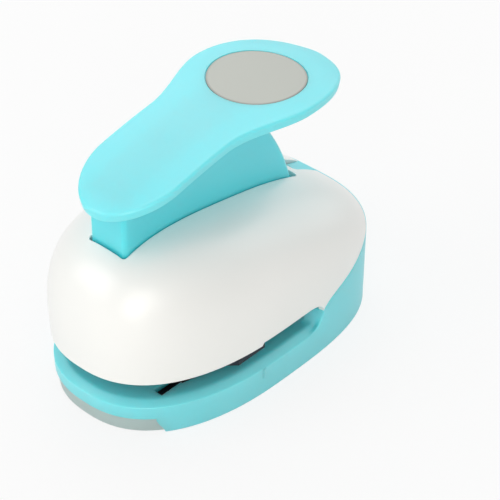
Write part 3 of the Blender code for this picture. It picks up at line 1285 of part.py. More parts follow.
def chip_tray(material):
    """A shallow tray inside the base, with a front lip in the base's wall and a hinge barrel behind."""
    tray = prism("chip_tray", tray_outline(TRAY_INSET), TRAY_FLOOR_HEIGHT, TRAY_TOP, material)
    hollow = tray_outline(TRAY_INSET + TRAY_WALL)
    floor = TRAY_FLOOR_HEIGHT + TRAY_FLOOR
    cut(tray, prism("cutter_tray_hollow", hollow, floor, TRAY_TOP + OVERRUN, material))
    fuse(tray, tray_lip(material))
    web_low = (-TRAY_BARREL_HALF_LENGTH, TRAY_REAR_Y - TRAY_WALL / 2, TRAY_FLOOR_HEIGHT)
    web_high = (TRAY_BARREL_HALF_LENGTH, TRAY_HINGE_Y + TRAY_PIN_RADIUS / 2, floor)
    fuse(tray, box("tray_hinge_web", web_low, web_high, material))
    reach = TRAY_BARREL_HALF_LENGTH
    barrel = turned("tray_barrel", [(TRAY_BARREL_RADIUS, -reach), (TRAY_BARREL_RADIUS, reach)], material)
    barrel.location = (0, TRAY_HINGE_Y, TRAY_HINGE_HEIGHT)
    fuse(tray, along_x(barrel))
    radius = TRAY_PIN_RADIUS + RUNNING_GAP
    reach += OVERRUN
    hole = turned("cutter_tray_barrel", [(radius, -reach), (radius, reach)], material)
    hole.location = (0, TRAY_HINGE_Y, TRAY_HINGE_HEIGHT)
    cut(tray, along_x(hole))
    return tray


def tray_lip(material):
    """The front lip: a slightly sunk stretch of the base's own wall, trimmed to its splayed ends."""
    rings = []
    depth = TRAY_INSET + TRAY_WALL / 2
    section = [(depth, TRAY_FLOOR_HEIGHT + TRAY_FLOOR / 2), (TRAY_LIP_SUNK, TRAY_FLOOR_HEIGHT)]
    section += [(TRAY_LIP_SUNK, TRAY_LIP_HEIGHT), (depth, TRAY_LIP_HEIGHT)]
    for inset, height in section:
        level = height / SHOULDER_HEIGHT
        rings.append([meridian_point(turn, level, inset) for turn in station_turns()])
    lip = loft("tray_lip", rings, material, joined=True)
    boolean(lip, lip_wedge("trim_tray_lip", 0.0, material), "INTERSECT")
    return lip


def tray_hinge_pin(material):
    reach = TRAY_BARREL_HALF_LENGTH + TRAY_LUG_WIDTH
    pin = turned("tray_hinge_pin", [(TRAY_PIN_RADIUS, -reach), (TRAY_PIN_RADIUS, reach)], material)
    pin.location = (0, TRAY_HINGE_Y, TRAY_HINGE_HEIGHT)
    return along_x(pin)


def main():
    for old in list(bpy.data.objects):
        bpy.data.objects.remove(old, do_unlink=True)
    aqua = moulding("aqua_moulding", linear(*AQUA), 0.35)
    white = moulding("white_moulding", linear(*WHITE), 0.35)
    clear = moulding("frosted_clear", linear(*FROSTED), 0.4, transmission=0.8)
    grey = moulding("grey_label", linear(*LABEL_GREY), 0.6)
    dark = moulding("dark_steel", linear(*DARK_STEEL), 0.35, metallic=1.0)
    steel = moulding("bright_steel", linear(*BRIGHT_STEEL), 0.3, metallic=1.0)
    nylon = moulding("grey_nylon", linear(*NYLON_GREY), 0.5)

    base_housing(aqua)
    top_cover(white)
    cover_screws(steel)
    die_plate(dark)
    throat_spacer(steel)
    guide_plate(dark)
    die_rivets(steel)
    die_screws(steel)
    guide_posts(steel)
    return_springs(steel)
    pivot_bracket(steel)
    bracket_rivets(steel)
    pivot_axle(steel)
    axle_clips(steel)
    pivot_bushes(nylon)
    lock_leaf_spring(steel)
    tray_hinge_pin(steel)

    punch_axis = joint_axis("punch_axis", (0, DIE_Y, CUTTER_BOTTOM))
    for piece in (punch_cutter(steel), punch_head(nylon), wear_plate(steel), *cutter_screws(steel)):
        carried(piece, punch_axis)
    lever_axis = joint_axis("lever_axis", (0, PIVOT_Y, PIVOT_HEIGHT))
    for piece in (lever_handle(aqua), size_label_disc(grey)):
        carried(piece, lever_axis)
    carried(lock_slider(aqua), joint_axis("lock_axis", (0, LOCK_TIP_Y, LOCK_PLATE_BOTTOM)))
    carried(chip_tray(clear), joint_axis("tray_axis", (0, TRAY_HINGE_Y, TRAY_HINGE_HEIGHT)))


main()
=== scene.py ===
"""Looks of the lever circle punch: moulded shells, paddle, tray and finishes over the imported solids.

Metres, in the frame of the solids: +Z up, Y the long axis, and the paper goes in at -Y.
"""

import json
import math

import bmesh
import bpy
import numpy as np
from mathutils import Matrix, Vector

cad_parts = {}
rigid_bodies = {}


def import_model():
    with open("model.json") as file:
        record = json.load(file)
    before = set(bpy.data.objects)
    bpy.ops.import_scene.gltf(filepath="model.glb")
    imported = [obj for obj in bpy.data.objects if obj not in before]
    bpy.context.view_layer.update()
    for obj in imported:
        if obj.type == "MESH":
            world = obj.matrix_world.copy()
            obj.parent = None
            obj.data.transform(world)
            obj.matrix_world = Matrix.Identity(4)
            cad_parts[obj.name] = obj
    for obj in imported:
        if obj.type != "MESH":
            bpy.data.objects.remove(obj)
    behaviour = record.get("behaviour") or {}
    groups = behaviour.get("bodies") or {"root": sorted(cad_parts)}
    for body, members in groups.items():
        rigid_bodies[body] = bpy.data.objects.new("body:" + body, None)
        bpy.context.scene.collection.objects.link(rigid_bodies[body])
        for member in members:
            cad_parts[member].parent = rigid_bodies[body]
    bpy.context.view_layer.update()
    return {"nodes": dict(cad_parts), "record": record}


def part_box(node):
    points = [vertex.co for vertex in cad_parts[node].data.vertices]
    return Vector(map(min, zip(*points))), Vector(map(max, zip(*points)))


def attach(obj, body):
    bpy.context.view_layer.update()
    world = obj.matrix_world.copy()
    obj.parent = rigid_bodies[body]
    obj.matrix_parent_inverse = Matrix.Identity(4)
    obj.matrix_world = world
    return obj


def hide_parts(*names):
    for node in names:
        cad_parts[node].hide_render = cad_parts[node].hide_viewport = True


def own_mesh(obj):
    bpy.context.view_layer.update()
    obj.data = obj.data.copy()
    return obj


MM = 0.001

# Body outline and dome, as in the solids
HALF_LENGTH = 69.5 * MM
HALF_WIDTH = 43.0 * MM
FRONT_EXPONENT = 2.4
REAR_EXPONENT = 3.0
WALL_LEAN = 1.3 * MM
SHOULDER = 35.4 * MM
DOME_FRONT_RISE = 51.1 * MM
DOME_MIDDLE_RISE = 34.6 * MM
DOME_REAR_RISE = 27.7 * MM
DOME_FRONT_ROUNDNESS = 2.64
DOME_REAR_ROUNDNESS = 1.90

# Die pocket and what is moulded inside the base
DIE_Y = -13.0 * MM
DIE_GAP = 0.3 * MM
DIE_CORNER_X = 26.4 * MM
DIE_CORNER_DEPTH = 15.0 * MM
DIE_FRONT = -41.4 * MM
CHANNEL_INNER = 21.5 * MM
CHANNEL_OUTER = 26.0 * MM
CHIP_HOLE_RADIUS = 26.9 * MM
SCREW_BOSS_PLACES = ((22.6 * MM, -35.6 * MM), (20.0 * MM, 25.0 * MM))
SCREW_BOSS_RADIUS = 3.4 * MM
SCREW_BOSS_DEPTH = 6.0 * MM
COVER_BOSS = (28.0 * MM, 38.5 * MM)
COVER_BOSS_RADIUS = 3.6 * MM
TOWER_HALF_WIDTH = 12.0 * MM
TOWER_FRONT = 44.0 * MM
TOWER_REAR = 60.5 * MM
TOWER_TOP = 47.5 * MM
TOWER_WALL = 2.4 * MM
TOWER_ROOF = 3.8 * MM
LUG_INNER = 22.3 * MM
LUG_OUTER = 25.5 * MM
LUG_HALF_LENGTH = 2.9 * MM
LUG_BOTTOM = 0.7 * MM
LUG_TOP = 12.0 * MM
REAR_FLOOR_Y = 53.3 * MM
REAR_FLOOR_TOP = 1.8 * MM
TICK_HALF_WIDTH = 0.8 * MM
TICK_PROUD = 0.6 * MM
TICK_BOTTOM = 8.4 * MM
TICK_TOP = 12.8 * MM
CUT_BEYOND = 2.0 * MM
OUTSIDE = 1.1 * HALF_LENGTH
CRISP = 0.3 * MM

# Base, throat and parting line
BASE_WALL = 2.4 * MM
FOOT_ROUND = 0.8 * MM
DECK = 15.0 * MM
DECK_UNDERSIDE = 11.0 * MM
EDGE = 13.0 * MM
LEAD_IN = 3.5 * MM
LEAD_IN_SHARE = 0.4
LEAD_IN_ROUND = 0.9 * MM
SHELF_END = 7.0 * MM
SHELF_FOOT = 8.4 * MM
HEEL_BLEND = 4.0 * MM
THROAT_SHELF = 9.0 * MM
THROAT_END_START = 12.0 * MM
THROAT_TIP_Y = 21.3 * MM
TIP_HEIGHT = 20.6 * MM
TIP_RISE = 3.0 * MM
TIP_RUN = 3.2 * MM
PARTING_SLOPE = 0.24
HEEL_RISE = 14.3 * MM
HEEL_EXPONENT = 4
PARTING_GAP = 0.4 * MM
TIP_SHARES = (0.02, 1.0, 2.5)
DOME_START_SHARE = 0.2

# Cover
COVER_WALL = 2.2 * MM
BROW_RISE = 4.0 * MM
RIM_ROUND = 0.35 * MM
RIM = 24.7 * MM
RIM_STEP = 1.3 * MM
RIM_STEP_Y = -13.8 * MM
RIM_STEP_RUN = 0.8 * MM
SLOT_HALF_WIDTH = 9.6 * MM
SLOT_FRONT = -52.3 * MM
SLOT_REAR = 42.0 * MM
SLOT_MIDDLE = (SLOT_FRONT + SLOT_REAR) / 2
SLOT_HALF_LENGTH = (SLOT_REAR - SLOT_FRONT) / 2
SLOT_FRONT_CORNER = 1.6 * MM
SLOT_REAR_CORNER = 2.4 * MM
SLOT_LIP = 0.35 * MM
NOTCH_HALF_WIDTH = 5.0 * MM
NOTCH_FRONT = 45.4 * MM
NOTCH_CORNER = 1.8 * MM

# Lever
PIVOT = (-50.0 * MM, 36.0 * MM)
STEM_HALF_WIDTH = 9.2 * MM
STEM_FRONT = 1.5 * MM
STEM_REAR_RADIUS = 91.8 * MM
STEM_CORNER = 2.0 * MM
PIVOT_BOSS_RADIUS = 6.5 * MM
PIVOT_BOSS_TURN = math.radians(20)
NOSE = (-13.0 * MM, 44.8 * MM)
NOSE_RADIUS = 4.0 * MM
STEM_FLOOR = 42.6 * MM
STEM_HEEL = (12.4 * MM, 47.3 * MM)
LOCK_POCKET_DEPTH = 3.4 * MM
LOCK_POCKET_HALF_HEIGHT = 2.4 * MM
LOCK_POCKET_HALF_WIDTH = 3.6 * MM
LEVER_SWING = math.radians(16)
PADDLE_FRONT_TIP = -58.8 * MM
PADDLE_FRONT_ROUND = 25.0 * MM
PADDLE_WAIST_Y = -8.7 * MM
PADDLE_WIDEST_Y = 25.9 * MM
PADDLE_REAR_TIP = 63.8 * MM
PADDLE_FRONT_HALF_WIDTH = 20.3 * MM
PADDLE_REAR_HALF_WIDTH = 28.9 * MM
PADDLE_FRONT_EXPONENT = 1.91
PADDLE_REAR_EXPONENT = 2.05
PADDLE_CREST = 106.4 * MM
PADDLE_CROWN = 1.2 * MM
PADDLE_FRONT_DROP = 15.1 * MM
PADDLE_REAR_DROP = 5.1 * MM
PADDLE_ARCH_EXPONENT = 1.85
PADDLE_EDGE = 4.3 * MM
PADDLE_UNDER_ROUND = 0.7 * MM
PADDLE_DRAFT = 0.8 * MM
PADDLE_RIM = 2.2 * MM
PADDLE_RECESS = 1.4 * MM
PADDLE_ROUND = 2.1 * MM
PADDLE_FLAT = 5.25 * MM
RECESS_SHARES = (0.1, 0.6, 1)
UNDERSIDE_SHARES = (0.4, 0.9)
DISC_Y = 28.2 * MM
DISC_RADIUS = 19.2 * MM
DISC_ROUND = 0.2 * MM
DISC_RECESS = 0.8 * MM
DISC_SUNK = 0.15 * MM
DISC_GAP = 0.3 * MM
DISC_LIP = 0.15 * MM
DISC_SHARES = (0.02, 0.25, 0.5, 0.75, 0.9)

# Chip tray and lock slider
TRAY_FLOOR_LOW = 0.5 * MM
TRAY_FLOOR_TOP = 2.1 * MM
TRAY_TOP = 9.8 * MM
TRAY_INSET = 3.0 * MM
TRAY_WALL = 1.8 * MM
TRAY_REAR = 45.5 * MM
LIP_TOP = 7.0 * MM
LIP_TOP_X = 27.3 * MM
LIP_FOOT_X = 29.2 * MM
LIP_SUNK = 1.0 * MM
LIP_ROUND = 0.8 * MM
LIP_GAP = 0.4 * MM
LIP_DEPTH = 3.9 * MM
HINGE = (50.0 * MM, 3.0 * MM)
BARREL_RADIUS = 2.3 * MM
BARREL_HALF_LENGTH = 22.0 * MM
PIN_BORE = 1.3 * MM
SLIDER_TIP = 43.0 * MM
SLIDER_SHOULDER = 47.5 * MM
SLIDER_REAR = 58.0 * MM
SLIDER_THUMB = 50.0 * MM
SLIDER_LOW = 47.8 * MM
SLIDER_TOP = 50.2 * MM
SLIDER_THUMB_HIGH = 53.4 * MM
SLIDER_THUMB_LOW = 51.2 * MM
SLIDER_THUMB_EXPONENT = 1.3
SLIDER_HALF_WIDTH = 4.4 * MM
SLIDER_TONGUE_HALF_WIDTH = 3.0 * MM
SLIDER_ROUND = 0.5 * MM

# Return springs
SPRING_RADIUS = 4.2 * MM
SPRING_WIRE = 0.5 * MM
SPRING_TURNS = 4.5

# Grain and texture of the finishes, and how far light scatters in the plastic
MOULD_FLOW = 45.0 * MM
MOULD_GRAIN = 0.4 * MM
MOULD_GRAIN_DEPTH = 0.03 * MM
MOULD_GRAIN_GLOSS = 0.05
SCATTER = 7.0 * MM
FROST_GRAIN = 0.5 * MM
FROST_GRAIN_DEPTH = 0.05 * MM
LABEL_FIBRE = 0.3 * MM
LABEL_FIBRE_DEPTH = 0.03 * MM
LABEL_EDGE = 0.9 * MM
LABEL_CUT = 0.2 * MM
OXIDE_LINES = 0.35 * MM
GROUND_LINES = 0.25 * MM
LINE_STRETCH_SHARE = 0.04
LINE_DEPTH = 0.02 * MM
SAWN_EDGE = 0.12 * MM

# Camera of the photograph: pixels, sensor in millimetres, degrees, and metres
FRAME_PIXELS = 500
FOCAL_PIXELS = 1902.6
SENSOR_WIDTH = 36.0
CAMERA_AZIMUTH = 42.784
CAMERA_ELEVATION = 37.462
CAMERA_DISTANCE = 755.0 * MM
CAMERA_AIM = (2.93 * MM, 21.38 * MM, 30.0 * MM)
CAMERA_NEAR = 0.01
CAMERA_FAR = 20.0

# Floor and light
FLOOR_HALF_WIDTH = 3.0
FLOOR_WHITE_SHARE = 0.8
WORLD_LIGHT = 0.62

# Fineness of the surfaces: samples, rows, steps and sides, and the degrees that make an edge
STATIONS = 460
OUTLINE_SAMPLES = 6000
PADDLE_SAMPLES = 8000
HALVINGS = 44
TINY = 1e-9
DOME_ROWS = 56
PADDLE_ROWS = 26
SUPPORT_SHARE = 1.4
THROAT_STEPS = 14
LIP_STEPS = 16
LIP_STATIONS = 120
CORNER_STEPS = 8
QUARTER_STEPS = 5
RECESS_STEPS = 4
CURVE_STEPS = 13
PIVOT_BOSS_STEPS = 18
NOSE_STEPS = 12
REAR_STEPS = 60
UNDER_PADDLE_STEPS = 24
HOLE_SIDES = 96
RING_SIDES = 48
BARREL_SIDES = 36
DISC_SIDES = 160
COIL_STEPS = 32
WIRE_SIDES = 12
BEVEL_STEPS = 3
EDGE_ANGLE = 32
PADDLE_EDGE_ANGLE = 50


def srgb(code):
    """A hex colour such as #98e5eb as linear red, green and blue."""
    values = [int(code[i : i + 2], 16) / 255 for i in (1, 3, 5)]
    return tuple(v / 12.92 if v <= 0.04045 else ((v + 0.055) / 1.055) ** 2.4 for v in values)


def mix(low, high, share):
    return low + (high - low) * share


def signed(value, exponent):
    return np.sign(value) * np.abs(value) ** exponent


def smooth_step(share):
    """An S curve 3 s^2 - 2 s^3, level at both ends."""
    share = np.clip(share, 0, 1)
    return share**2 * (3 - 2 * share)


def crossing(value, low, high):
    """Where value rises through zero between low and high, by halving, for a whole array at once."""
    low, high = np.array(low, float), np.array(high, float)
    for _ in range(HALVINGS):
        middle = (low + high) / 2
        under = value(middle) < 0
        low, high = np.where(under, middle, low), np.where(under, high, middle)
    return (low + high) / 2


def exponent_at(y):
    return np.where(y < 0, FRONT_EXPONENT, REAR_EXPONENT)


def plan(turn, inset=0.0):
    """Outline: x = (W - d) sgn(cos t) |cos t|^(2/n), y = (L - d) sgn(sin t) |sin t|^(2/n)."""
    power = 2 / exponent_at(np.sin(turn))
    x = (HALF_WIDTH - inset) * signed(np.cos(turn), power)
    return x, (HALF_LENGTH - inset) * signed(np.sin(turn), power)


def turn_at(y):
    """Direction in which the right side of the outline passes y."""
    return np.arcsin(signed(y / HALF_LENGTH, exponent_at(y) / 2))


def lean(y, height):
    """Share of its shoulder outline that the wall has at a height."""
    upright = (np.maximum(y, 0) / HALF_LENGTH) ** 2
    return 1 - WALL_LEAN / HALF_LENGTH * (1 - height / SHOULDER) * (1 - upright)


def reach_of(x, y, inset):
    """How far a point of the plan is from the centre to the outline: (|x/W|^n + |y/L|^n)^(1/n)."""
    n = exponent_at(y)
    across = np.abs(x / (HALF_WIDTH - inset)) ** n
    return (across + np.abs(y / (HALF_LENGTH - inset)) ** n) ** (1 / n)


def dome_over(x, y, inset=0.0):
    """Height of the dome: shoulder + rise(y) (1 - k^m)^(1/m), with the rise a quadratic in y."""
    share = y / HALF_LENGTH
    slope = (DOME_REAR_RISE - DOME_FRONT_RISE) / 2
    bend = (DOME_REAR_RISE + DOME_FRONT_RISE) / 2 - DOME_MIDDLE_RISE
    rise = DOME_MIDDLE_RISE + slope * share + bend * share**2 - inset
    m = mix(DOME_FRONT_ROUNDNESS, DOME_REAR_ROUNDNESS, (share + 1) / 2)
    return SHOULDER + rise * np.maximum(0, 1 - reach_of(x, y, inset) ** m) ** (1 / m)


def throat_end(y, straight, tip):
    """Straight, then a quarter ellipse up or down to the tip where the throat ends."""
    share = np.clip((y - THROAT_END_START) / (THROAT_TIP_Y - THROAT_END_START), 0, 1)
    return straight + (tip - straight) * (1 - np.sqrt(1 - share**2))


def base_top(y):
    """Top of the base's wall: crisp edge, throat end, then the parting line that climbs to the heel."""
    run = np.maximum(y - THROAT_TIP_Y, 0)
    heel = HEEL_RISE * (run / (HALF_LENGTH - THROAT_TIP_Y)) ** HEEL_EXPONENT
    climb = TIP_RISE * (1 - np.exp(-run / TIP_RUN)) + PARTING_SLOPE * run
    return np.where(y <= THROAT_TIP_Y, throat_end(y, EDGE, TIP_HEIGHT), TIP_HEIGHT + climb + heel)


def cover_rim(y):
    """Bottom edge of the cover: front rim, a small step up, the throat end, then the parting line."""
    step = RIM + RIM_STEP * np.clip((y - RIM_STEP_Y) / RIM_STEP_RUN + 0.5, 0, 1)
    front = throat_end(y, step, TIP_HEIGHT + PARTING_GAP)
    return np.where(y > THROAT_TIP_Y, base_top(y) + PARTING_GAP, front)


def run_along(x, y):
    """Length of a path up to each of its points."""
    return np.concatenate([[0], np.cumsum(np.hypot(np.diff(x), np.diff(y)))])


def body_stations():
    """Directions evenly spaced along the outline, with the rim's step and the throat's end hit exactly."""
    fine = np.linspace(-math.pi / 2, math.pi / 2, OUTLINE_SAMPLES)
    length = run_along(*plan(fine))
    even = np.interp(np.linspace(0, length[-1], STATIONS // 2), length, fine)
    curve = np.sin(np.linspace(0, math.pi / 2, THROAT_STEPS))
    marks = np.concatenate(
        [
            RIM_STEP_Y + RIM_STEP_RUN * np.array([-0.5, 0.5]),
            mix(THROAT_END_START, THROAT_TIP_Y, curve),
            THROAT_TIP_Y + PARTING_GAP * np.array(TIP_SHARES),
        ]
    )
    marks = turn_at(marks)
    near = np.min(np.abs(even[:, None] - marks[None, :]), axis=1)
    kept = even[near > (even[1] - even[0]) / 3]
    right = np.unique(np.concatenate([kept, marks, even[[0, -1]]]))
    return np.concatenate([right, math.pi - right[-2:0:-1]])


def body_rays(turns, inset=0.0):
    """A straight line in plan from the lever slot's middle line to the outline, for each direction."""
    x, y = plan(turns, inset)
    start = SLOT_MIDDLE + (SLOT_HALF_LENGTH - SLOT_HALF_WIDTH) * y / HALF_LENGTH
    return lambda s: (x * s, mix(start, y, s))


def skin(turns, inset, height):
    """Points of the body's skin at heights: on the leaning wall up to the shoulder, then on the dome."""
    x, y = plan(turns, inset)
    height = height + 0 * x
    share = lean(y, height)
    wall = np.stack([x * share, y * share, height], axis=-1)
    ray = body_rays(turns, inset)
    over = np.maximum(height, SHOULDER)
    s = crossing(lambda s: over - dome_over(*ray(s), inset), DOME_START_SHARE, 1)
    dome = np.stack([*ray(s), over], axis=-1)
    return np.where((height > SHOULDER)[:, None], dome, wall)


def unit(vectors):
    return vectors / np.maximum(np.linalg.norm(vectors, axis=-1, keepdims=True), TINY)


def eased(corners, radii, between, steps=4):
    """Rows of a profile of (inset, height) corners, each value one for all stations or one for each.
    Each corner c turns along the curve (1-t)^2 a + 2t(1-t) c + t^2 b, with a and b a radius away, and
    a support row lies beyond each. Between the corners lie so many even rows."""
    insets, heights = zip(*corners)
    values = np.broadcast_arrays(*insets, *heights)
    points = np.stack([values[: len(corners)], values[len(corners) :]], axis=-1)
    groups = [[points[0]]]
    for before, corner, after, radius in zip(points[:-2], points[1:-1], points[2:], radii):
        back, on = before - corner, after - corner
        size = np.minimum(np.linalg.norm(back, axis=-1), np.linalg.norm(on, axis=-1))
        radius = np.minimum(radius, size / 3)[..., None]
        back, on = radius * unit(back), radius * unit(on)
        turn = [(1 - t) ** 2 * back + t**2 * on + corner for t in np.linspace(0, 1, steps + 1)]
        groups.append([corner + SUPPORT_SHARE * back, *turn, corner + SUPPORT_SHARE * on])
    groups.append([points[-1]])
    rows = []
    for group, following, count in zip(groups, groups[1:], between):
        rows += group
        rows += [mix(group[-1], following[0], share) for share in np.linspace(0, 1, count + 2)[1:-1]]
    return np.stack(rows + groups[-1])


def smooth(piece, edge_angle=EDGE_ANGLE):
    """Shades a piece smooth, but for edges sharper than an angle in degrees."""
    piece.data.shade_smooth()
    piece.data.set_sharp_from_angle(angle=math.radians(edge_angle))


def grid_faces(rows, columns, through):
    """Quads of a grid of points, closed around its columns and, if through, from last row to first."""
    row = np.arange(rows if through else rows - 1)[:, None]
    column = np.arange(columns)[None, :]
    after, beside = (row + 1) % rows, (column + 1) % columns
    corners = [(row, column), (row, beside), (after, beside), (after, column)]
    return np.stack([r * columns + c for r, c in corners], axis=-1).reshape(-1, 4).tolist()


def shell(name, grid, material, through=False, caps=(), edge_angle=EDGE_ANGLE):
    """A surface over a grid of points (rows, columns, 3), with flat caps on the rows named."""
    rows, columns = grid.shape[:2]
    faces = grid_faces(rows, columns, through)
    for row in caps:
        start = (row % rows) * columns
        faces.append(list(range(start, start + columns)))
    mesh = bpy.data.meshes.new(name)
    mesh.from_pydata(grid.reshape(-1, 3).tolist(), [], faces)
    work = bmesh.new()
    work.from_mesh(mesh)
    bmesh.ops.recalc_face_normals(work, faces=work.faces)
    work.to_mesh(mesh)
    work.free()
    made = bpy.data.objects.new(name, mesh)
    bpy.context.scene.collection.objects.link(made)
    mesh.materials.append(material)
    smooth(made, edge_angle)
    return made


def solid(name, outline, low, high, material, axis=2):
    """A straight prism over an outline of 2-D points, along an axis from low to high."""
    flat = np.asarray(outline, float)
    rows = [np.insert(flat, axis, level, axis=1) for level in (low, high)]
    return shell(name, np.stack(rows), material, caps=(0, -1))


def rectangle(low, high):
    return [(low[0], low[1]), (high[0], low[1]), (high[0], high[1]), (low[0], high[1])]


def block(name, low, high, material):
    return solid(name, rectangle(low, high), low[2], high[2], material)


def arc(centre, radius, start, end, steps):
    turn = np.linspace(start, end, steps + 1)
    return np.stack([centre[0] + radius * np.cos(turn), centre[1] + radius * np.sin(turn)], axis=-1)


def circle(centre, radius, sides=RING_SIDES):
    return arc(centre, radius, 0, 2 * math.pi, sides)[:-1]


def mirrored(right):
    """The right side of an outline, and its left side back again."""
    right = np.array(right)
    return np.concatenate([right, right[::-1] * (-1, 1)])


def combine(piece, tools, operation="DIFFERENCE"):
    """Cuts the tools from the piece, or joins them to it, and keeps only the result."""
    for tool in tools:
        step = piece.modifiers.new(tool.name, "BOOLEAN")
        step.operation, step.solver, step.object = operation, "EXACT", tool
        graph = bpy.context.evaluated_depsgraph_get()
        mesh = bpy.data.meshes.new_from_object(piece.evaluated_get(graph))
        piece.modifiers.clear()
        old, piece.data = piece.data, mesh
        bpy.data.meshes.remove(old)
        bpy.data.objects.remove(tool, do_unlink=True)
    smooth(piece)
    return piece


def weigh_normals(piece):
    """Lets large flat faces keep their own direction next to small rounded edges."""
    step = piece.modifiers.new("weighted normals", "WEIGHTED_NORMAL")
    step.keep_sharp = True


def slot_distance(x, y):
    """Signed distance to the lever's slot, a rectangle with rounded corners."""
    radius = np.where(y > SLOT_MIDDLE, SLOT_REAR_CORNER, SLOT_FRONT_CORNER)
    across = np.abs(x) - (SLOT_HALF_WIDTH - radius)
    along = np.abs(y - SLOT_MIDDLE) - (SLOT_HALF_LENGTH - radius)
    outside = np.hypot(np.maximum(across, 0), np.maximum(along, 0))
    return outside + np.minimum(np.maximum(across, along), 0) - radius


def dome_rows(turns, inset, brow, count):
    """Rows of the dome from the slot's edge to the brow, even in the angle a, with reach = cos(a)^(2/m)."""
    ray = body_rays(turns, inset)
    grow = SLOT_LIP if inset == 0 else 0.0
    edge = crossing(lambda s: slot_distance(*ray(s)) - grow, 0, 1)
    low = crossing(lambda s: brow - dome_over(*ray(s), inset), edge, 1)
    m = (DOME_FRONT_ROUNDNESS + DOME_REAR_ROUNDNESS) / 2
    first, last = (np.arccos(np.minimum(reach_of(*ray(s), inset), 1) ** (m / 2)) for s in (edge, low))
    rows = []
    for share in np.linspace(0, 1, count + 1)[:-1]:
        target = np.cos(mix(first, last, share)) ** (2 / m)
        s = crossing(lambda s: reach_of(*ray(s), inset) - target, edge, 1) if share else edge
        x, y = ray(s)
        rows.append(np.stack([x, y, dome_over(x, y, inset)], axis=-1))
    return rows


def slot_lip_rows(turns):
    """The slot's wall and its rounded lip: out by r (1 - cos a) and down by r (1 - sin a) from the dome."""
    ray = body_rays(turns)
    rows = []
    for turn in np.linspace(0, math.pi / 2, QUARTER_STEPS)[:-1]:
        grow = SLOT_LIP * (1 - math.cos(turn))
        x, y = ray(crossing(lambda s: slot_distance(*ray(s)) - grow, 0, 1))
        rows.append(np.stack([x, y, dome_over(x, y) - SLOT_LIP * (1 - math.sin(turn))], axis=-1))
    return rows


def cover_shell(material):
    """The white cover: a grid that runs up the inside, over the slot's lip, down the outside and
    under the rim."""
    turns = body_stations()
    y = plan(turns)[1]
    rim = cover_rim(y)
    brow = np.maximum(SHOULDER, rim + BROW_RISE)
    corners = [(0, brow), (0, rim), (COVER_WALL, rim), (COVER_WALL, brow)]
    wall = eased(corners, (RIM_ROUND, RIM_ROUND), (9, 0, 5))
    under = [skin(turns, *row.T) for row in wall]
    outer = dome_rows(turns, 0.0, brow, DOME_ROWS)
    inner = dome_rows(turns, COVER_WALL, brow, DOME_ROWS // 3)[::-1]
    grid = np.stack(slot_lip_rows(turns) + outer + under + inner)
    cover = shell("cover_shell", grid, material, through=True)
    front = NOTCH_FRONT + NOTCH_CORNER
    side = NOTCH_HALF_WIDTH - NOTCH_CORNER
    outline = [(NOTCH_HALF_WIDTH, OUTSIDE), (-NOTCH_HALF_WIDTH, OUTSIDE)]
    outline += arc((-side, front), NOTCH_CORNER, math.pi, 1.5 * math.pi, CORNER_STEPS).tolist()
    outline += arc((side, front), NOTCH_CORNER, -math.pi / 2, 0, CORNER_STEPS).tolist()
    notch = solid("notch", outline, SHOULDER, PADDLE_CREST, material)
    return combine(cover, [notch])


def lip_end(height):
    """Half-width of the tray's lip at a height: an S curve from its foot to its narrower top."""
    return mix(LIP_FOOT_X, LIP_TOP_X, smooth_step(height / LIP_TOP))


def lip_opening(material):
    """The hole in the base's wall for the tray's lip: a prism with the lip's ends, grown by the gap."""
    heights = np.linspace(-CUT_BEYOND, LIP_TOP + LIP_GAP, LIP_STEPS)
    outline = mirrored(np.stack([lip_end(heights) + LIP_GAP, heights], axis=-1))
    return solid("lip_opening", outline, -OUTSIDE, -HALF_LENGTH / 2, material, axis=1)


def die_pocket(material):
    """The pocket of the die plate, the channels of its legs and the chip hole, from that plate's box."""
    low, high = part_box("die_plate")
    floor = low.z - DIE_GAP
    roof = DECK + CUT_BEYOND
    side = high.x + DIE_GAP
    right = [
        (DIE_CORNER_X + DIE_GAP, DIE_FRONT - DIE_GAP),
        (side, DIE_FRONT + DIE_CORNER_DEPTH),
        (side, high.y + DIE_GAP),
    ]
    tools = [solid("pocket", mirrored(right), floor, roof, material)]
    for sign in (1, -1):
        ends = sorted((sign * CHANNEL_INNER, sign * CHANNEL_OUTER))
        channel = ((ends[0], low.y - DIE_GAP, floor), (ends[1], DIE_FRONT, roof))
        tools.append(block(f"channel_{sign}", *channel, material))
    hole = circle((0, DIE_Y), CHIP_HOLE_RADIUS, HOLE_SIDES)
    tools.append(solid("chip_hole", hole, DECK_UNDERSIDE - CUT_BEYOND, DECK, material))
    return tools


def base_shell(material):
    """The aqua base: wall with rounded foot, crisp edge and lead-in slope, then the deck with its pocket.
    Where the throat ends, the deck's border climbs with the wall and closes it."""
    turns = body_stations()
    y = plan(turns)[1]
    top = base_top(y)
    heel = np.clip((top - EDGE) / HEEL_BLEND, 0, 1)
    closed = heel * np.clip(1 - (y - THROAT_TIP_Y) / THROAT_SHELF, 0, 1)
    shelf = mix(DECK, top, closed)
    slope = mix(EDGE, DECK, LEAD_IN_SHARE)
    corners = [
        (BASE_WALL, DECK_UNDERSIDE),
        (BASE_WALL, 0),
        (0, 0),
        (0, top),
        (mix(LEAD_IN * LEAD_IN_SHARE, BASE_WALL, heel), mix(slope, top, heel)),
        (LEAD_IN, shelf),
        (SHELF_END, shelf),
        (SHELF_FOOT, DECK),
    ]
    edge_round = mix(CRISP, BASE_WALL / 3, heel)
    radii = (CRISP, FOOT_ROUND, edge_round, CRISP, LEAD_IN_ROUND, CRISP)
    rows = eased(corners, radii, (2, 0, 14, 0, 10, 0, 2))
    grid = np.stack([skin(turns, *row.T) for row in rows])
    base = shell("base_shell", grid, material, caps=(0, -1))
    return combine(base, die_pocket(material) + [lip_opening(material)])


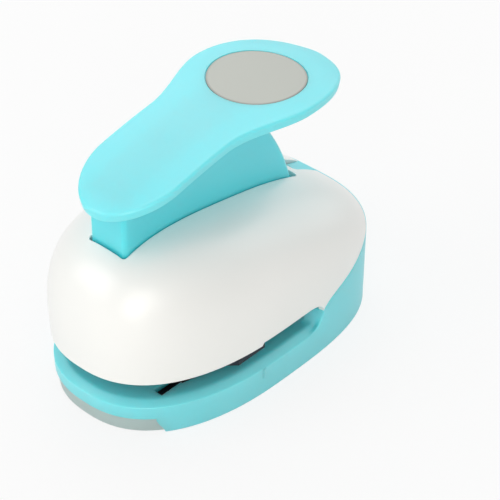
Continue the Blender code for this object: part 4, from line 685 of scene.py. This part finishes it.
def base_fittings(material):
    """What else is moulded on the base: slider tower, screw and cover bosses, tray hinge lugs, ticks on
    the sides and the rear floor."""
    half, inner = TOWER_HALF_WIDTH, TOWER_HALF_WIDTH - TOWER_WALL
    tower = block("tower", (-half, TOWER_FRONT, DECK_UNDERSIDE), (half, TOWER_REAR, TOWER_TOP), material)
    low = (-inner, TOWER_FRONT + TOWER_WALL, DECK_UNDERSIDE - CUT_BEYOND)
    high = (inner, TOWER_REAR - 2 * TOWER_WALL, TOWER_TOP - TOWER_ROOF)
    made = [combine(tower, [block("tower_hollow", low, high, material)])]
    for sign in (1, -1):
        for x, y in SCREW_BOSS_PLACES:
            ring = circle((sign * x, y), SCREW_BOSS_RADIUS)
            made.append(solid("boss", ring, DECK_UNDERSIDE - SCREW_BOSS_DEPTH, DECK - DIE_GAP, material))
        near, far = sorted((sign * LUG_INNER, sign * LUG_OUTER))
        low, high = HINGE[0] - LUG_HALF_LENGTH, HINGE[0] + LUG_HALF_LENGTH
        made.append(block("lug", (near, low, LUG_BOTTOM), (far, high, LUG_TOP), material))
        x, y = COVER_BOSS
        ring = circle((sign * x, y), COVER_BOSS_RADIUS)
        made.append(solid("cover_boss", ring, DECK, base_top(np.array(y)), material))
        made.append(side_tick(sign, material))
    x, y, _ = skin(body_stations(), BASE_WALL / 2, 0.0).T
    rear = np.stack([x, y], axis=-1)[y > REAR_FLOOR_Y]
    made.append(solid("rear_floor", rear, 0.0, REAR_FLOOR_TOP, material))
    return join("base_fittings", made)


def side_tick(sign, material):
    """The small upright mark at the die's centre: a bar on the wall with a half-round front."""
    wall = plan(turn_at(np.array(DIE_Y)))[0] * lean(DIE_Y, TICK_BOTTOM)
    turn = np.linspace(0, math.pi, CURVE_STEPS)
    x = sign * (wall - TICK_PROUD + 2 * TICK_PROUD * np.sin(turn))
    y = DIE_Y + TICK_HALF_WIDTH * np.cos(turn)
    return solid("tick", np.stack([x, y], axis=-1), TICK_BOTTOM, TICK_TOP, material)


def join(name, pieces):
    """Makes one mesh of several."""
    with bpy.context.temp_override(active_object=pieces[0], selected_editable_objects=pieces):
        bpy.ops.object.join()
    pieces[0].name = name
    return pieces[0]


def paddle_half_width(y):
    """Half-width of the paddle: narrow front, smooth swell to the rear, rounded tips (1 - s^n)^(1/n)."""
    swell = smooth_step((y - PADDLE_WAIST_Y) / (PADDLE_WIDEST_Y - PADDLE_WAIST_Y))
    width = mix(PADDLE_FRONT_HALF_WIDTH, PADDLE_REAR_HALF_WIDTH, swell)
    front = np.clip((PADDLE_FRONT_TIP + PADDLE_FRONT_ROUND - y) / PADDLE_FRONT_ROUND, 0, 1)
    rear = np.clip((y - PADDLE_WIDEST_Y) / (PADDLE_REAR_TIP - PADDLE_WIDEST_Y), 0, 1)
    for share, n in ((front, PADDLE_FRONT_EXPONENT), (rear, PADDLE_REAR_EXPONENT)):
        width = width * (1 - share**n) ** (1 / n)
    return width


def paddle_arch(y):
    """Height of the paddle's edge: crest - drop s^n to the front, crest - drop s^2 to the rear."""
    front = np.maximum(PADDLE_WIDEST_Y - y, 0) / (PADDLE_WIDEST_Y - PADDLE_FRONT_TIP)
    rear = np.maximum(y - PADDLE_WIDEST_Y, 0) / (PADDLE_REAR_TIP - PADDLE_WIDEST_Y)
    return PADDLE_CREST - PADDLE_FRONT_DROP * front**PADDLE_ARCH_EXPONENT - PADDLE_REAR_DROP * rear**2


def paddle_top(x, y):
    """Height of the paddle's top: the arch and a crown c (1 - (x / w)^2) across its flat's half-width w."""
    width = paddle_half_width(y)
    across = np.abs(x) / np.maximum(width - PADDLE_ROUND, PADDLE_ROUND)
    crown = PADDLE_CROWN * np.minimum(width / PADDLE_FRONT_HALF_WIDTH, 1)
    return paddle_arch(y) + crown * np.maximum(1 - across**2, 0)


def paddle_outline():
    """Evenly spaced points of the paddle's outline, and the outward direction at each."""
    turn = np.linspace(0, math.pi, PADDLE_SAMPLES)
    y = mix(PADDLE_FRONT_TIP, PADDLE_REAR_TIP, (1 - np.cos(turn)) / 2)
    x = paddle_half_width(y)
    length = run_along(x, y)
    even = np.linspace(0, length[-1], STATIONS // 2)
    x, y = np.interp(even, length, x), np.interp(even, length, y)
    points = np.concatenate([np.stack([x, y], -1), np.stack([-x, y], -1)[-2:0:-1]])
    along = np.roll(points, -1, axis=0) - np.roll(points, 1, axis=0)
    along /= np.linalg.norm(along, axis=1, keepdims=True)
    return points, np.stack([along[:, 1], -along[:, 0]], axis=-1)


def disc_ring(points, radius):
    """Points at a radius about the disc's centre, in the directions of the outline's points."""
    away = points - np.array([0, DISC_Y])
    return np.array([0, DISC_Y]) + radius * away / np.linalg.norm(away, axis=1, keepdims=True)


def paddle_ring(flat, below):
    """Points over a ring in plan, so far below the paddle's top."""
    return np.column_stack([flat, paddle_top(*flat.T) - below])


def paddle(material):
    """The paddle: rings from the disc's recess out over the top, round the edge and under to the middle."""
    points, outward = paddle_outline()
    recess = DISC_RADIUS + DISC_GAP
    rows = [paddle_ring(disc_ring(points, recess * share), DISC_RECESS) for share in RECESS_SHARES]
    for turn in np.linspace(0, math.pi / 2, RECESS_STEPS):
        ring = disc_ring(points, recess + DISC_LIP * (1 - math.cos(turn)))
        rows.append(paddle_ring(ring, DISC_LIP * (1 - math.sin(turn))))
    inner = disc_ring(points, recess + DISC_LIP)
    edge = points - outward * PADDLE_FLAT
    rows += [paddle_ring(mix(inner, edge, share), 0) for share in np.linspace(0, 1, PADDLE_ROWS)[1:]]
    low = PADDLE_EDGE - PADDLE_RECESS
    corners = [
        (PADDLE_FLAT, 0),
        (0, 0),
        (PADDLE_DRAFT, PADDLE_EDGE),
        (PADDLE_DRAFT + PADDLE_RIM, PADDLE_EDGE),
        (PADDLE_DRAFT + PADDLE_RIM + PADDLE_RECESS, low),
        (PADDLE_DRAFT + 3 * PADDLE_RIM, low),
    ]
    radii = (PADDLE_ROUND, PADDLE_UNDER_ROUND, PADDLE_UNDER_ROUND, PADDLE_UNDER_ROUND)
    profile = eased(corners, radii, (0, 2, 0, 0, 0), 6)[1:]
    rows += [paddle_ring(points - outward * inset, below) for inset, below in profile]
    rim = points - outward * corners[-1][0]
    middle = disc_ring(points, recess * RECESS_SHARES[0])
    rows += [paddle_ring(mix(rim, middle, share), low) for share in UNDERSIDE_SHARES]
    return shell("paddle", np.stack(rows), material, caps=(0, -1), edge_angle=PADDLE_EDGE_ANGLE)


def stem_side(inset):
    """The stem's side view: boss and nose arcs below, the rear arc about the pivot, the paddle above."""
    y0, z0 = PIVOT
    front = y0 - STEM_FRONT + inset
    rear = STEM_REAR_RADIUS - inset
    start = math.pi - math.acos((STEM_FRONT - inset) / PIVOT_BOSS_RADIUS)
    points = [arc(PIVOT, PIVOT_BOSS_RADIUS, start, 2 * math.pi + PIVOT_BOSS_TURN, PIVOT_BOSS_STEPS)]
    points.append(np.array([(y0 + 2 * PIVOT_BOSS_RADIUS, STEM_FLOOR)]))
    dip = math.asin((STEM_FLOOR - NOSE[1]) / NOSE_RADIUS)
    points.append(arc(NOSE, NOSE_RADIUS, math.pi - dip, 2 * math.pi + dip, NOSE_STEPS))
    points.append(np.array([STEM_HEEL]))
    low = math.asin((STEM_HEEL[1] - z0) / rear)
    high = math.asin((paddle_arch(0.0) - PADDLE_EDGE / 2 - z0) / rear)
    points.append(arc(PIVOT, rear, low, high, REAR_STEPS))
    last = points[-1][-1, 0]
    y = np.linspace(last, front, UNDER_PADDLE_STEPS)[1:]
    points.append(np.stack([y, paddle_arch(y) - PADDLE_EDGE / 2], axis=-1))
    top = paddle_arch(front) - PADDLE_EDGE / 2
    z = np.linspace(top, z0 + 3 * PIVOT_BOSS_RADIUS, CORNER_STEPS)[1:]
    points.append(np.stack([0 * z + front, z], axis=-1))
    return np.concatenate(points)


def stem(material):
    """The flat stem: side views stacked across, drawn in towards each face by r (1 - sqrt(1 - s^2))."""
    shares = np.sin(np.linspace(0, math.pi / 2, CORNER_STEPS))
    flat = STEM_HALF_WIDTH - STEM_CORNER
    right = [(flat + STEM_CORNER * s, STEM_CORNER * (1 - math.sqrt(1 - s * s))) for s in shares]
    places = [(-x, inset) for x, inset in reversed(right)] + right
    rows = [np.insert(stem_side(inset), 0, x, axis=1) for x, inset in places]
    made = shell("stem", np.stack(rows), material, caps=(0, -1))
    tools = []
    middle = (SLIDER_LOW + SLIDER_TOP) / 2 - PIVOT[1]
    polar = math.asin(middle / STEM_REAR_RADIUS)
    low, high = STEM_REAR_RADIUS - LOCK_POCKET_DEPTH, STEM_REAR_RADIUS + CUT_BEYOND
    pocket = np.array(rectangle((low, -LOCK_POCKET_HALF_HEIGHT), (high, LOCK_POCKET_HALF_HEIGHT)))
    half = LOCK_POCKET_HALF_WIDTH
    for turn in (polar, polar + LEVER_SWING):
        spin = np.array([[math.cos(turn), math.sin(turn)], [-math.sin(turn), math.cos(turn)]])
        tools.append(solid("lock_pocket", pocket @ spin + PIVOT, -half, half, material, axis=0))
    return combine(made, tools)


def label_disc(material):
    """The label plate: rings about its centre, bent to the paddle's top, with a fine rounded edge."""
    places = [(DISC_RADIUS * share, DISC_SUNK) for share in DISC_SHARES]
    for turn in np.linspace(0, math.pi / 2, QUARTER_STEPS):
        inward = DISC_ROUND * (1 - math.sin(turn))
        down = DISC_ROUND * (1 - math.cos(turn))
        places.append((DISC_RADIUS - inward, DISC_SUNK + down))
    places += [(DISC_RADIUS, DISC_RECESS), (DISC_RADIUS * DISC_SHARES[0], DISC_RECESS)]
    rows = [paddle_ring(circle((0, DISC_Y), radius, DISC_SIDES), below) for radius, below in places]
    return shell("label_disc", np.stack(rows), material, caps=(0, -1))


def tray(material):
    """The frosted tray: floor and wall follow the base's inside, cut straight at the rear, with the lip
    at the front."""
    turns = body_stations()
    corners = [
        (TRAY_INSET, TRAY_FLOOR_LOW),
        (TRAY_INSET, TRAY_TOP),
        (TRAY_INSET + TRAY_WALL, TRAY_TOP),
        (TRAY_INSET + TRAY_WALL, TRAY_FLOOR_TOP),
        (TRAY_INSET + 3 * TRAY_WALL, TRAY_FLOOR_TOP),
    ]
    rows = []
    for inset, height in eased(corners, (CRISP, CRISP, LIP_ROUND), (3, 0, 3, 0), 3):
        ring = skin(turns, inset, height)
        ring[:, 1] = np.minimum(ring[:, 1], TRAY_REAR + TRAY_INSET - inset)
        rows.append(ring)
    body = shell("tray_body", np.stack(rows), material, caps=(0, -1))
    low = (-BARREL_HALF_LENGTH, TRAY_REAR - TRAY_WALL / 2, TRAY_FLOOR_LOW)
    high = (BARREL_HALF_LENGTH, HINGE[0] - PIN_BORE, TRAY_FLOOR_TOP)
    web = block("tray_web", low, high, material)
    return join("tray", [body, tray_lip(material), web, tray_barrel(material)])


def tray_barrel(material):
    """The barrel of the tray's hinge: a tube across the rear, with the bore of its pin."""
    rings = []
    for side, radius in ((-1, BARREL_RADIUS), (1, BARREL_RADIUS), (1, PIN_BORE), (-1, PIN_BORE)):
        ring = circle(HINGE, radius, BARREL_SIDES)
        rings.append(np.insert(ring, 0, side * BARREL_HALF_LENGTH, axis=1))
    return shell("tray_barrel", np.stack(rings), material, through=True)


def wall_y(x, height, inset):
    """The front wall's y over x: -(L - d) k (1 - |x / ((W - d) k)|^n)^(1/n), k the lean at the height."""
    share = lean(0.0, height)
    across = np.abs(x / ((HALF_WIDTH - inset) * share)) ** FRONT_EXPONENT
    return -(HALF_LENGTH - inset) * share * (1 - across) ** (1 / FRONT_EXPONENT)


def tray_lip(material):
    """The lip: a closed section of wall carried across from one end to the other."""
    corners = [
        (LIP_DEPTH, TRAY_FLOOR_LOW + TRAY_WALL / 2),
        (LIP_DEPTH / 2, TRAY_FLOOR_LOW),
        (LIP_SUNK, TRAY_FLOOR_LOW),
        (LIP_SUNK, LIP_TOP),
        (LIP_DEPTH, LIP_TOP),
        (LIP_DEPTH, LIP_TOP / 2),
    ]
    radii = (CRISP, LIP_ROUND, LIP_ROUND, CRISP)
    inset, height = eased(corners, radii, (0, 0, 8, 0, 0)).T
    across = np.sin(np.linspace(-math.pi / 2, math.pi / 2, LIP_STATIONS))[:, None]
    x = across * lip_end(height)
    y = wall_y(x, height, inset)
    return shell("tray_lip", np.stack([x, y, height + 0 * x], axis=-1), material, caps=(0, -1))


def slider(material):
    """The lock slider: a flat tongue and plate below, and the thumb block that stands out of the cover."""
    half, tongue = SLIDER_HALF_WIDTH, SLIDER_TONGUE_HALF_WIDTH
    right = [(tongue, SLIDER_TIP), (tongue, SLIDER_SHOULDER), (half, SLIDER_SHOULDER), (half, SLIDER_REAR)]
    plate = solid("slider_plate", mirrored(right), SLIDER_LOW, SLIDER_TOP, material)
    middle = (SLIDER_LOW + SLIDER_TOP) / 2
    share = np.linspace(0, 1, CURVE_STEPS)
    rise = mix(SLIDER_THUMB_LOW, SLIDER_THUMB_HIGH, share**SLIDER_THUMB_EXPONENT)
    crown = np.stack([mix(SLIDER_REAR, SLIDER_THUMB, share), rise], axis=-1)
    side = np.concatenate([[(SLIDER_THUMB, middle), (SLIDER_REAR, middle)], crown])
    thumb = solid("slider_thumb", side, -half, half, material, axis=0)
    made = combine(plate, [thumb], "UNION")
    step = made.modifiers.new("rounded edges", "BEVEL")
    step.width, step.segments, step.limit_method = SLIDER_ROUND, BEVEL_STEPS, "ANGLE"
    return made


def return_spring(side, material):
    """A helix of wire about (R cos a, R sin a, rise a / A), with rings r (out cos b + up sin b) across it."""
    low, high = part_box(f"return_spring_{side}")
    middle = (low + high) / 2
    share = np.linspace(0, 1, int(SPRING_TURNS * COIL_STEPS))
    turn = 2 * math.pi * SPRING_TURNS * share
    out = np.stack([np.cos(turn), np.sin(turn), 0 * turn], axis=-1)
    path = np.array([middle.x, middle.y, 0]) + SPRING_RADIUS * out
    path[:, 2] = mix(low.z + SPRING_WIRE, high.z - SPRING_WIRE, share)
    up = np.cross(unit(np.gradient(path, axis=0)), out)
    ring = np.linspace(0, 2 * math.pi, WIRE_SIDES, endpoint=False)[None, :, None]
    grid = path[:, None] + SPRING_WIRE * (np.cos(ring) * out[:, None] + np.sin(ring) * up[:, None])
    spring = shell(f"spring_{side}", grid, material, caps=(0, -1))
    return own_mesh(spring)


def add(tree, kind, inputs=None, **settings):
    """Adds a node with its settings. Inputs go by name or place: a socket is linked, a value is set."""
    made = tree.nodes.new(kind)
    for key, value in settings.items():
        setattr(made, key, value)
    for key, value in (inputs or {}).items():
        socket = made.inputs[key]
        if isinstance(value, bpy.types.NodeSocket):
            tree.links.new(value, socket)
        else:
            socket.default_value = value
    return made


def new_material(name):
    """An empty material and its node tree."""
    made = bpy.data.materials.new(name)
    made.use_nodes = True
    made.node_tree.nodes.clear()
    return made, made.node_tree


def surface(tree, inputs):
    """Ends a material in a principled shader with these inputs."""
    shader = add(tree, "ShaderNodeBsdfPrincipled", inputs)
    add(tree, "ShaderNodeOutputMaterial", {"Surface": shader.outputs[0]})


def grain_height(tree, pitch, detail=2.0):
    """Fine noise whose grains are a pitch in metres across, on Object coordinates."""
    place = add(tree, "ShaderNodeTexCoord").outputs["Object"]
    noise = add(tree, "ShaderNodeTexNoise", {"Vector": place, "Scale": 1 / pitch, "Detail": detail})
    return noise.outputs["Fac"]


def moulded_abs(name, colour, deep, roughness=0.34, scatter=0.0):
    """Injection-moulded ABS from a satin, spark-eroded tool: an even pastel colour with a soft broad
    highlight, a fine grain that only breaks up the highlight, and faint flow shading. The aqua one
    lets some light in, and green and blue come out again in its shadows."""
    made, tree = new_material(name)
    flow = grain_height(tree, MOULD_FLOW, 1.0)
    grain = grain_height(tree, MOULD_GRAIN)
    tone = add(tree, "ShaderNodeMapRange", {"Value": flow, "From Min": 0.3, "From Max": 0.7})
    shades = {0: tone.outputs["Result"], 6: (*srgb(deep), 1), 7: (*srgb(colour), 1)}
    paint = add(tree, "ShaderNodeMix", shades, data_type="RGBA")
    low, high = roughness - MOULD_GRAIN_GLOSS, roughness + MOULD_GRAIN_GLOSS
    rough = add(tree, "ShaderNodeMapRange", {"Value": grain, "To Min": low, "To Max": high})
    depth = {"Height": grain, "Strength": 0.12, "Distance": MOULD_GRAIN_DEPTH}
    bump = add(tree, "ShaderNodeBump", depth)
    surface(
        tree,
        {
            "Base Color": paint.outputs[2],
            "Roughness": rough.outputs["Result"],
            "Normal": bump.outputs["Normal"],
            "IOR": 1.53,
            "Specular IOR Level": 1.0,
            "Subsurface Weight": scatter,
            "Subsurface Radius": (0.08, 1.0, 0.95),
            "Subsurface Scale": SCATTER,
        },
    )
    return made


def frosted_styrene(name):
    """Clear styrene moulded in a blasted tool: it lets light through but scatters it, so the
    shapes behind only tint it, with a brighter satin edge."""
    made, tree = new_material(name)
    grain = grain_height(tree, FROST_GRAIN)
    bump = add(tree, "ShaderNodeBump", {"Height": grain, "Strength": 0.2, "Distance": FROST_GRAIN_DEPTH})
    surface(
        tree,
        {
            "Base Color": (*srgb("#d3e6e4"), 1),
            "Roughness": 0.45,
            "IOR": 1.57,
            "Transmission Weight": 0.45,
            "Normal": bump.outputs["Normal"],
        },
    )
    return made


def printed_label(name):
    """Matt coated label board: an even warm grey with a fine fibre and a darker cut edge."""
    made, tree = new_material(name)
    place = add(tree, "ShaderNodeTexCoord").outputs["Object"]
    flat = add(tree, "ShaderNodeVectorMath", {0: place, 1: (0, DISC_Y, 0)}, operation="SUBTRACT")
    flat = add(tree, "ShaderNodeVectorMath", {0: flat.outputs[0], 1: (1, 1, 0)}, operation="MULTIPLY")
    reach = add(tree, "ShaderNodeVectorMath", {0: flat.outputs[0]}, operation="LENGTH").outputs["Value"]
    near = {"Value": reach, "From Min": DISC_RADIUS - LABEL_EDGE, "From Max": DISC_RADIUS - LABEL_CUT}
    edge = add(tree, "ShaderNodeMapRange", near)
    shades = {0: edge.outputs["Result"], 6: (*srgb("#c1c4bd"), 1), 7: (*srgb("#a9a6a0"), 1)}
    paint = add(tree, "ShaderNodeMix", shades, data_type="RGBA")
    fibre = grain_height(tree, LABEL_FIBRE, 4.0)
    bump = add(tree, "ShaderNodeBump", {"Height": fibre, "Strength": 0.15, "Distance": LABEL_FIBRE_DEPTH})
    surface(tree, {"Base Color": paint.outputs[2], "Roughness": 0.62, "Normal": bump.outputs["Normal"]})
    return made


def worked_steel(name, colour, roughness, pitch):
    """Steel with the lines of grinding or rolling along Y: streaks change its roughness and tone, and a
    fine shader bevel softens the sawn edges."""
    made, tree = new_material(name)
    place = add(tree, "ShaderNodeTexCoord").outputs["Object"]
    stretched = add(tree, "ShaderNodeMapping", {"Vector": place, "Scale": (1.0, LINE_STRETCH_SHARE, 1.0)})
    streaks = {"Vector": stretched.outputs["Vector"], "Scale": 1 / pitch, "Detail": 3.0}
    lines = add(tree, "ShaderNodeTexNoise", streaks).outputs["Fac"]
    tone = add(tree, "ShaderNodeMapRange", {"Value": lines, "To Min": 0.85, "To Max": 1.1})
    scaled = {0: srgb(colour), "Scale": tone.outputs["Result"]}
    paint = add(tree, "ShaderNodeVectorMath", scaled, operation="SCALE")
    low, high = roughness - 0.08, roughness + 0.1
    rough = add(tree, "ShaderNodeMapRange", {"Value": lines, "To Min": low, "To Max": high})
    soft = add(tree, "ShaderNodeBevel", {"Radius": SAWN_EDGE}, samples=4).outputs["Normal"]
    depth = {"Height": lines, "Strength": 0.1, "Distance": LINE_DEPTH, "Normal": soft}
    bump = add(tree, "ShaderNodeBump", depth)
    surface(
        tree,
        {
            "Base Color": paint.outputs[0],
            "Metallic": 1.0,
            "Roughness": rough.outputs["Result"],
            "Normal": bump.outputs["Normal"],
        },
    )
    return made


def seen_directly(tree):
    """One for camera, mirror and glass rays, and zero for the light that a surface gathers."""
    path = add(tree, "ShaderNodeLightPath").outputs
    seen = path["Is Camera Ray"]
    for kind in ("Is Glossy Ray", "Is Transmission Ray"):
        seen = add(tree, "ShaderNodeMath", {0: seen, 1: path[kind]}, operation="MAXIMUM").outputs[0]
    return seen


def pale_floor():
    """A white sheet: what sees it directly sees most of it as plain white, and it keeps a soft shadow."""
    made, tree = new_material("white_sheet")
    factors = {0: seen_directly(tree), 1: FLOOR_WHITE_SHARE}
    share = add(tree, "ShaderNodeMath", factors, operation="MULTIPLY")
    paper = add(tree, "ShaderNodeBsdfDiffuse", {"Color": (0.9, 0.9, 0.9, 1)})
    glow = add(tree, "ShaderNodeEmission", {"Strength": 1.0})
    layers = {0: share.outputs[0], 1: paper.outputs[0], 2: glow.outputs[0]}
    both = add(tree, "ShaderNodeMixShader", layers)
    add(tree, "ShaderNodeOutputMaterial", {"Surface": both.outputs[0]})
    half = FLOOR_HALF_WIDTH
    mesh = bpy.data.meshes.new("floor")
    corners = [(x, y, 0) for x, y in rectangle((-half, -half), (half, half))]
    mesh.from_pydata(corners, [], [(0, 1, 2, 3)])
    mesh.materials.append(made)
    floor = bpy.data.objects.new("floor", mesh)
    bpy.context.scene.collection.objects.link(floor)


def white_world(strength):
    """Even soft light from all sides, which is plain white where it is seen directly."""
    world = bpy.data.worlds.new("studio")
    bpy.context.scene.world = world
    world.use_nodes = True
    tree = world.node_tree
    tree.nodes.clear()
    levels = {"Value": seen_directly(tree), "To Min": strength, "To Max": 1.0}
    level = add(tree, "ShaderNodeMapRange", levels).outputs["Result"]
    sky = add(tree, "ShaderNodeBackground", {"Strength": level})
    add(tree, "ShaderNodeOutputWorld", {"Surface": sky.outputs[0]})


def soft_box(name, place, aim, size, power, colour):
    """A square area lamp at a place, turned to face its aim."""
    lamp = bpy.data.lights.new(name, "AREA")
    lamp.shape, lamp.size, lamp.energy, lamp.color = "SQUARE", size, power, colour
    made = bpy.data.objects.new(name, lamp)
    made.location = place
    made.rotation_euler = (Vector(aim) - Vector(place)).to_track_quat("-Z", "Y").to_euler()
    bpy.context.scene.collection.objects.link(made)


def lights():
    """Even studio light: white from all sides, a key from the front left, and weaker boxes all round."""
    white_world(WORLD_LIGHT)
    boxes = {
        "key": ((-0.55, -1.0, 0.75), 0.9, 4.3, "#ffffff"),
        "front_right": ((0.9, -0.9, 0.7), 0.8, 4.2, "#fffcf6"),
        "low_front": ((0.7, -1.1, 0.28), 0.5, 2.3, "#fffcf6"),
        "rear_left": ((-0.75, 0.75, 0.85), 1.3, 3.6, "#ffffff"),
        "rear": ((0.2, 1.2, 0.8), 0.9, 2.4, "#ffffff"),
        "over_left": ((-0.6, 0.2, 1.1), 1.0, 2.0, "#ffffff"),
    }
    for name, (place, size, power, colour) in boxes.items():
        soft_box(name, place, (0, 0, PIVOT[1]), size, power, srgb(colour))


def photo_camera():
    """The photograph's view: its azimuth turns from the front to the right."""
    turn, rise = math.radians(CAMERA_AZIMUTH), math.radians(CAMERA_ELEVATION)
    back = Vector((math.sin(turn) * math.cos(rise), -math.cos(turn) * math.cos(rise), math.sin(rise)))
    data = bpy.data.cameras.new("photo_camera")
    data.sensor_width = SENSOR_WIDTH
    data.lens = FOCAL_PIXELS / FRAME_PIXELS * data.sensor_width
    data.clip_start, data.clip_end = CAMERA_NEAR, CAMERA_FAR
    camera = bpy.data.objects.new("photo_camera", data)
    right = Vector((math.cos(turn), math.sin(turn), 0))
    up = back.cross(right)
    axes = Matrix((right, up, back)).transposed().to_4x4()
    place = Vector(CAMERA_AIM) + back * CAMERA_DISTANCE
    camera.matrix_world = Matrix.Translation(place) @ axes
    bpy.context.scene.collection.objects.link(camera)
    bpy.context.scene.camera = camera


def dress():
    """Makes the new pieces, sets them on their bodies and gives every solid its finish."""
    aqua = moulded_abs("aqua_satin_abs", "#76e3ee", "#70e0eb", 0.38, 0.7)
    # The stem is one moulding with the paddle, but gets a darker, more saturated aqua: painted shade from
    # the paddle above it. Its lower roughness is a glossier finish.
    shaded_stem_aqua = moulded_abs("glossy_aqua_abs_painted_shade", "#50dce6", "#4bd8e3", 0.3, 0.7)
    white = moulded_abs("white_satin_abs", "#f4f4f1", "#f0f1ee")
    frosted = frosted_styrene("frosted_clear_styrene")
    label = printed_label("warm_grey_label_board")
    dark = worked_steel("black_oxide_steel", "#343a41", 0.45, OXIDE_LINES)
    bright = worked_steel("ground_zinc_steel", "#c3c6ca", 0.3, GROUND_LINES)
    nylon = moulded_abs("grey_nylon", "#5a5c60", "#54565a", 0.5)

    pieces = [
        (cover_shell(white), "housing", ["top_cover"], "white_moulding"),
        (base_shell(aqua), "housing", ["base_housing"], "aqua_moulding"),
        (base_fittings(aqua), "housing", ["base_housing"], "aqua_moulding"),
        (paddle(aqua), "lever", ["lever_handle"], "aqua_moulding"),
        (stem(shaded_stem_aqua), "lever", ["lever_handle"], "aqua_moulding"),
        (label_disc(label), "lever", ["size_label_disc"], "grey_label"),
        (tray(frosted), "tray", ["chip_tray"], "frosted_clear"),
        (slider(aqua), "lock", ["lock_slider"], "aqua_moulding"),
    ]
    for piece, *_ in pieces:
        weigh_normals(piece)
    for side in ("right", "left"):
        spring = return_spring(side, bright)
        pieces.append((spring, "housing", [f"return_spring_{side}"], "bright_steel"))
    for piece, body, nodes, slot in pieces:
        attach(piece, body)
        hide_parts(*nodes)
    finishes = {
        "dark_steel": dark,
        "bright_steel": bright,
        "grey_nylon": nylon,
        "aqua_moulding": aqua,
        "white_moulding": white,
        "frosted_clear": frosted,
        "grey_label": label,
    }
    for part in frame["record"]["subparts"]:
        for place in frame["nodes"][part["node"]].material_slots:
            place.material = finishes[part["material_slot"]]


for old in list(bpy.data.objects):
    bpy.data.objects.remove(old, do_unlink=True)
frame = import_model()
dress()
pale_floor()
lights()
photo_camera()
scene = bpy.context.scene
scene.view_settings.view_transform = "Standard"
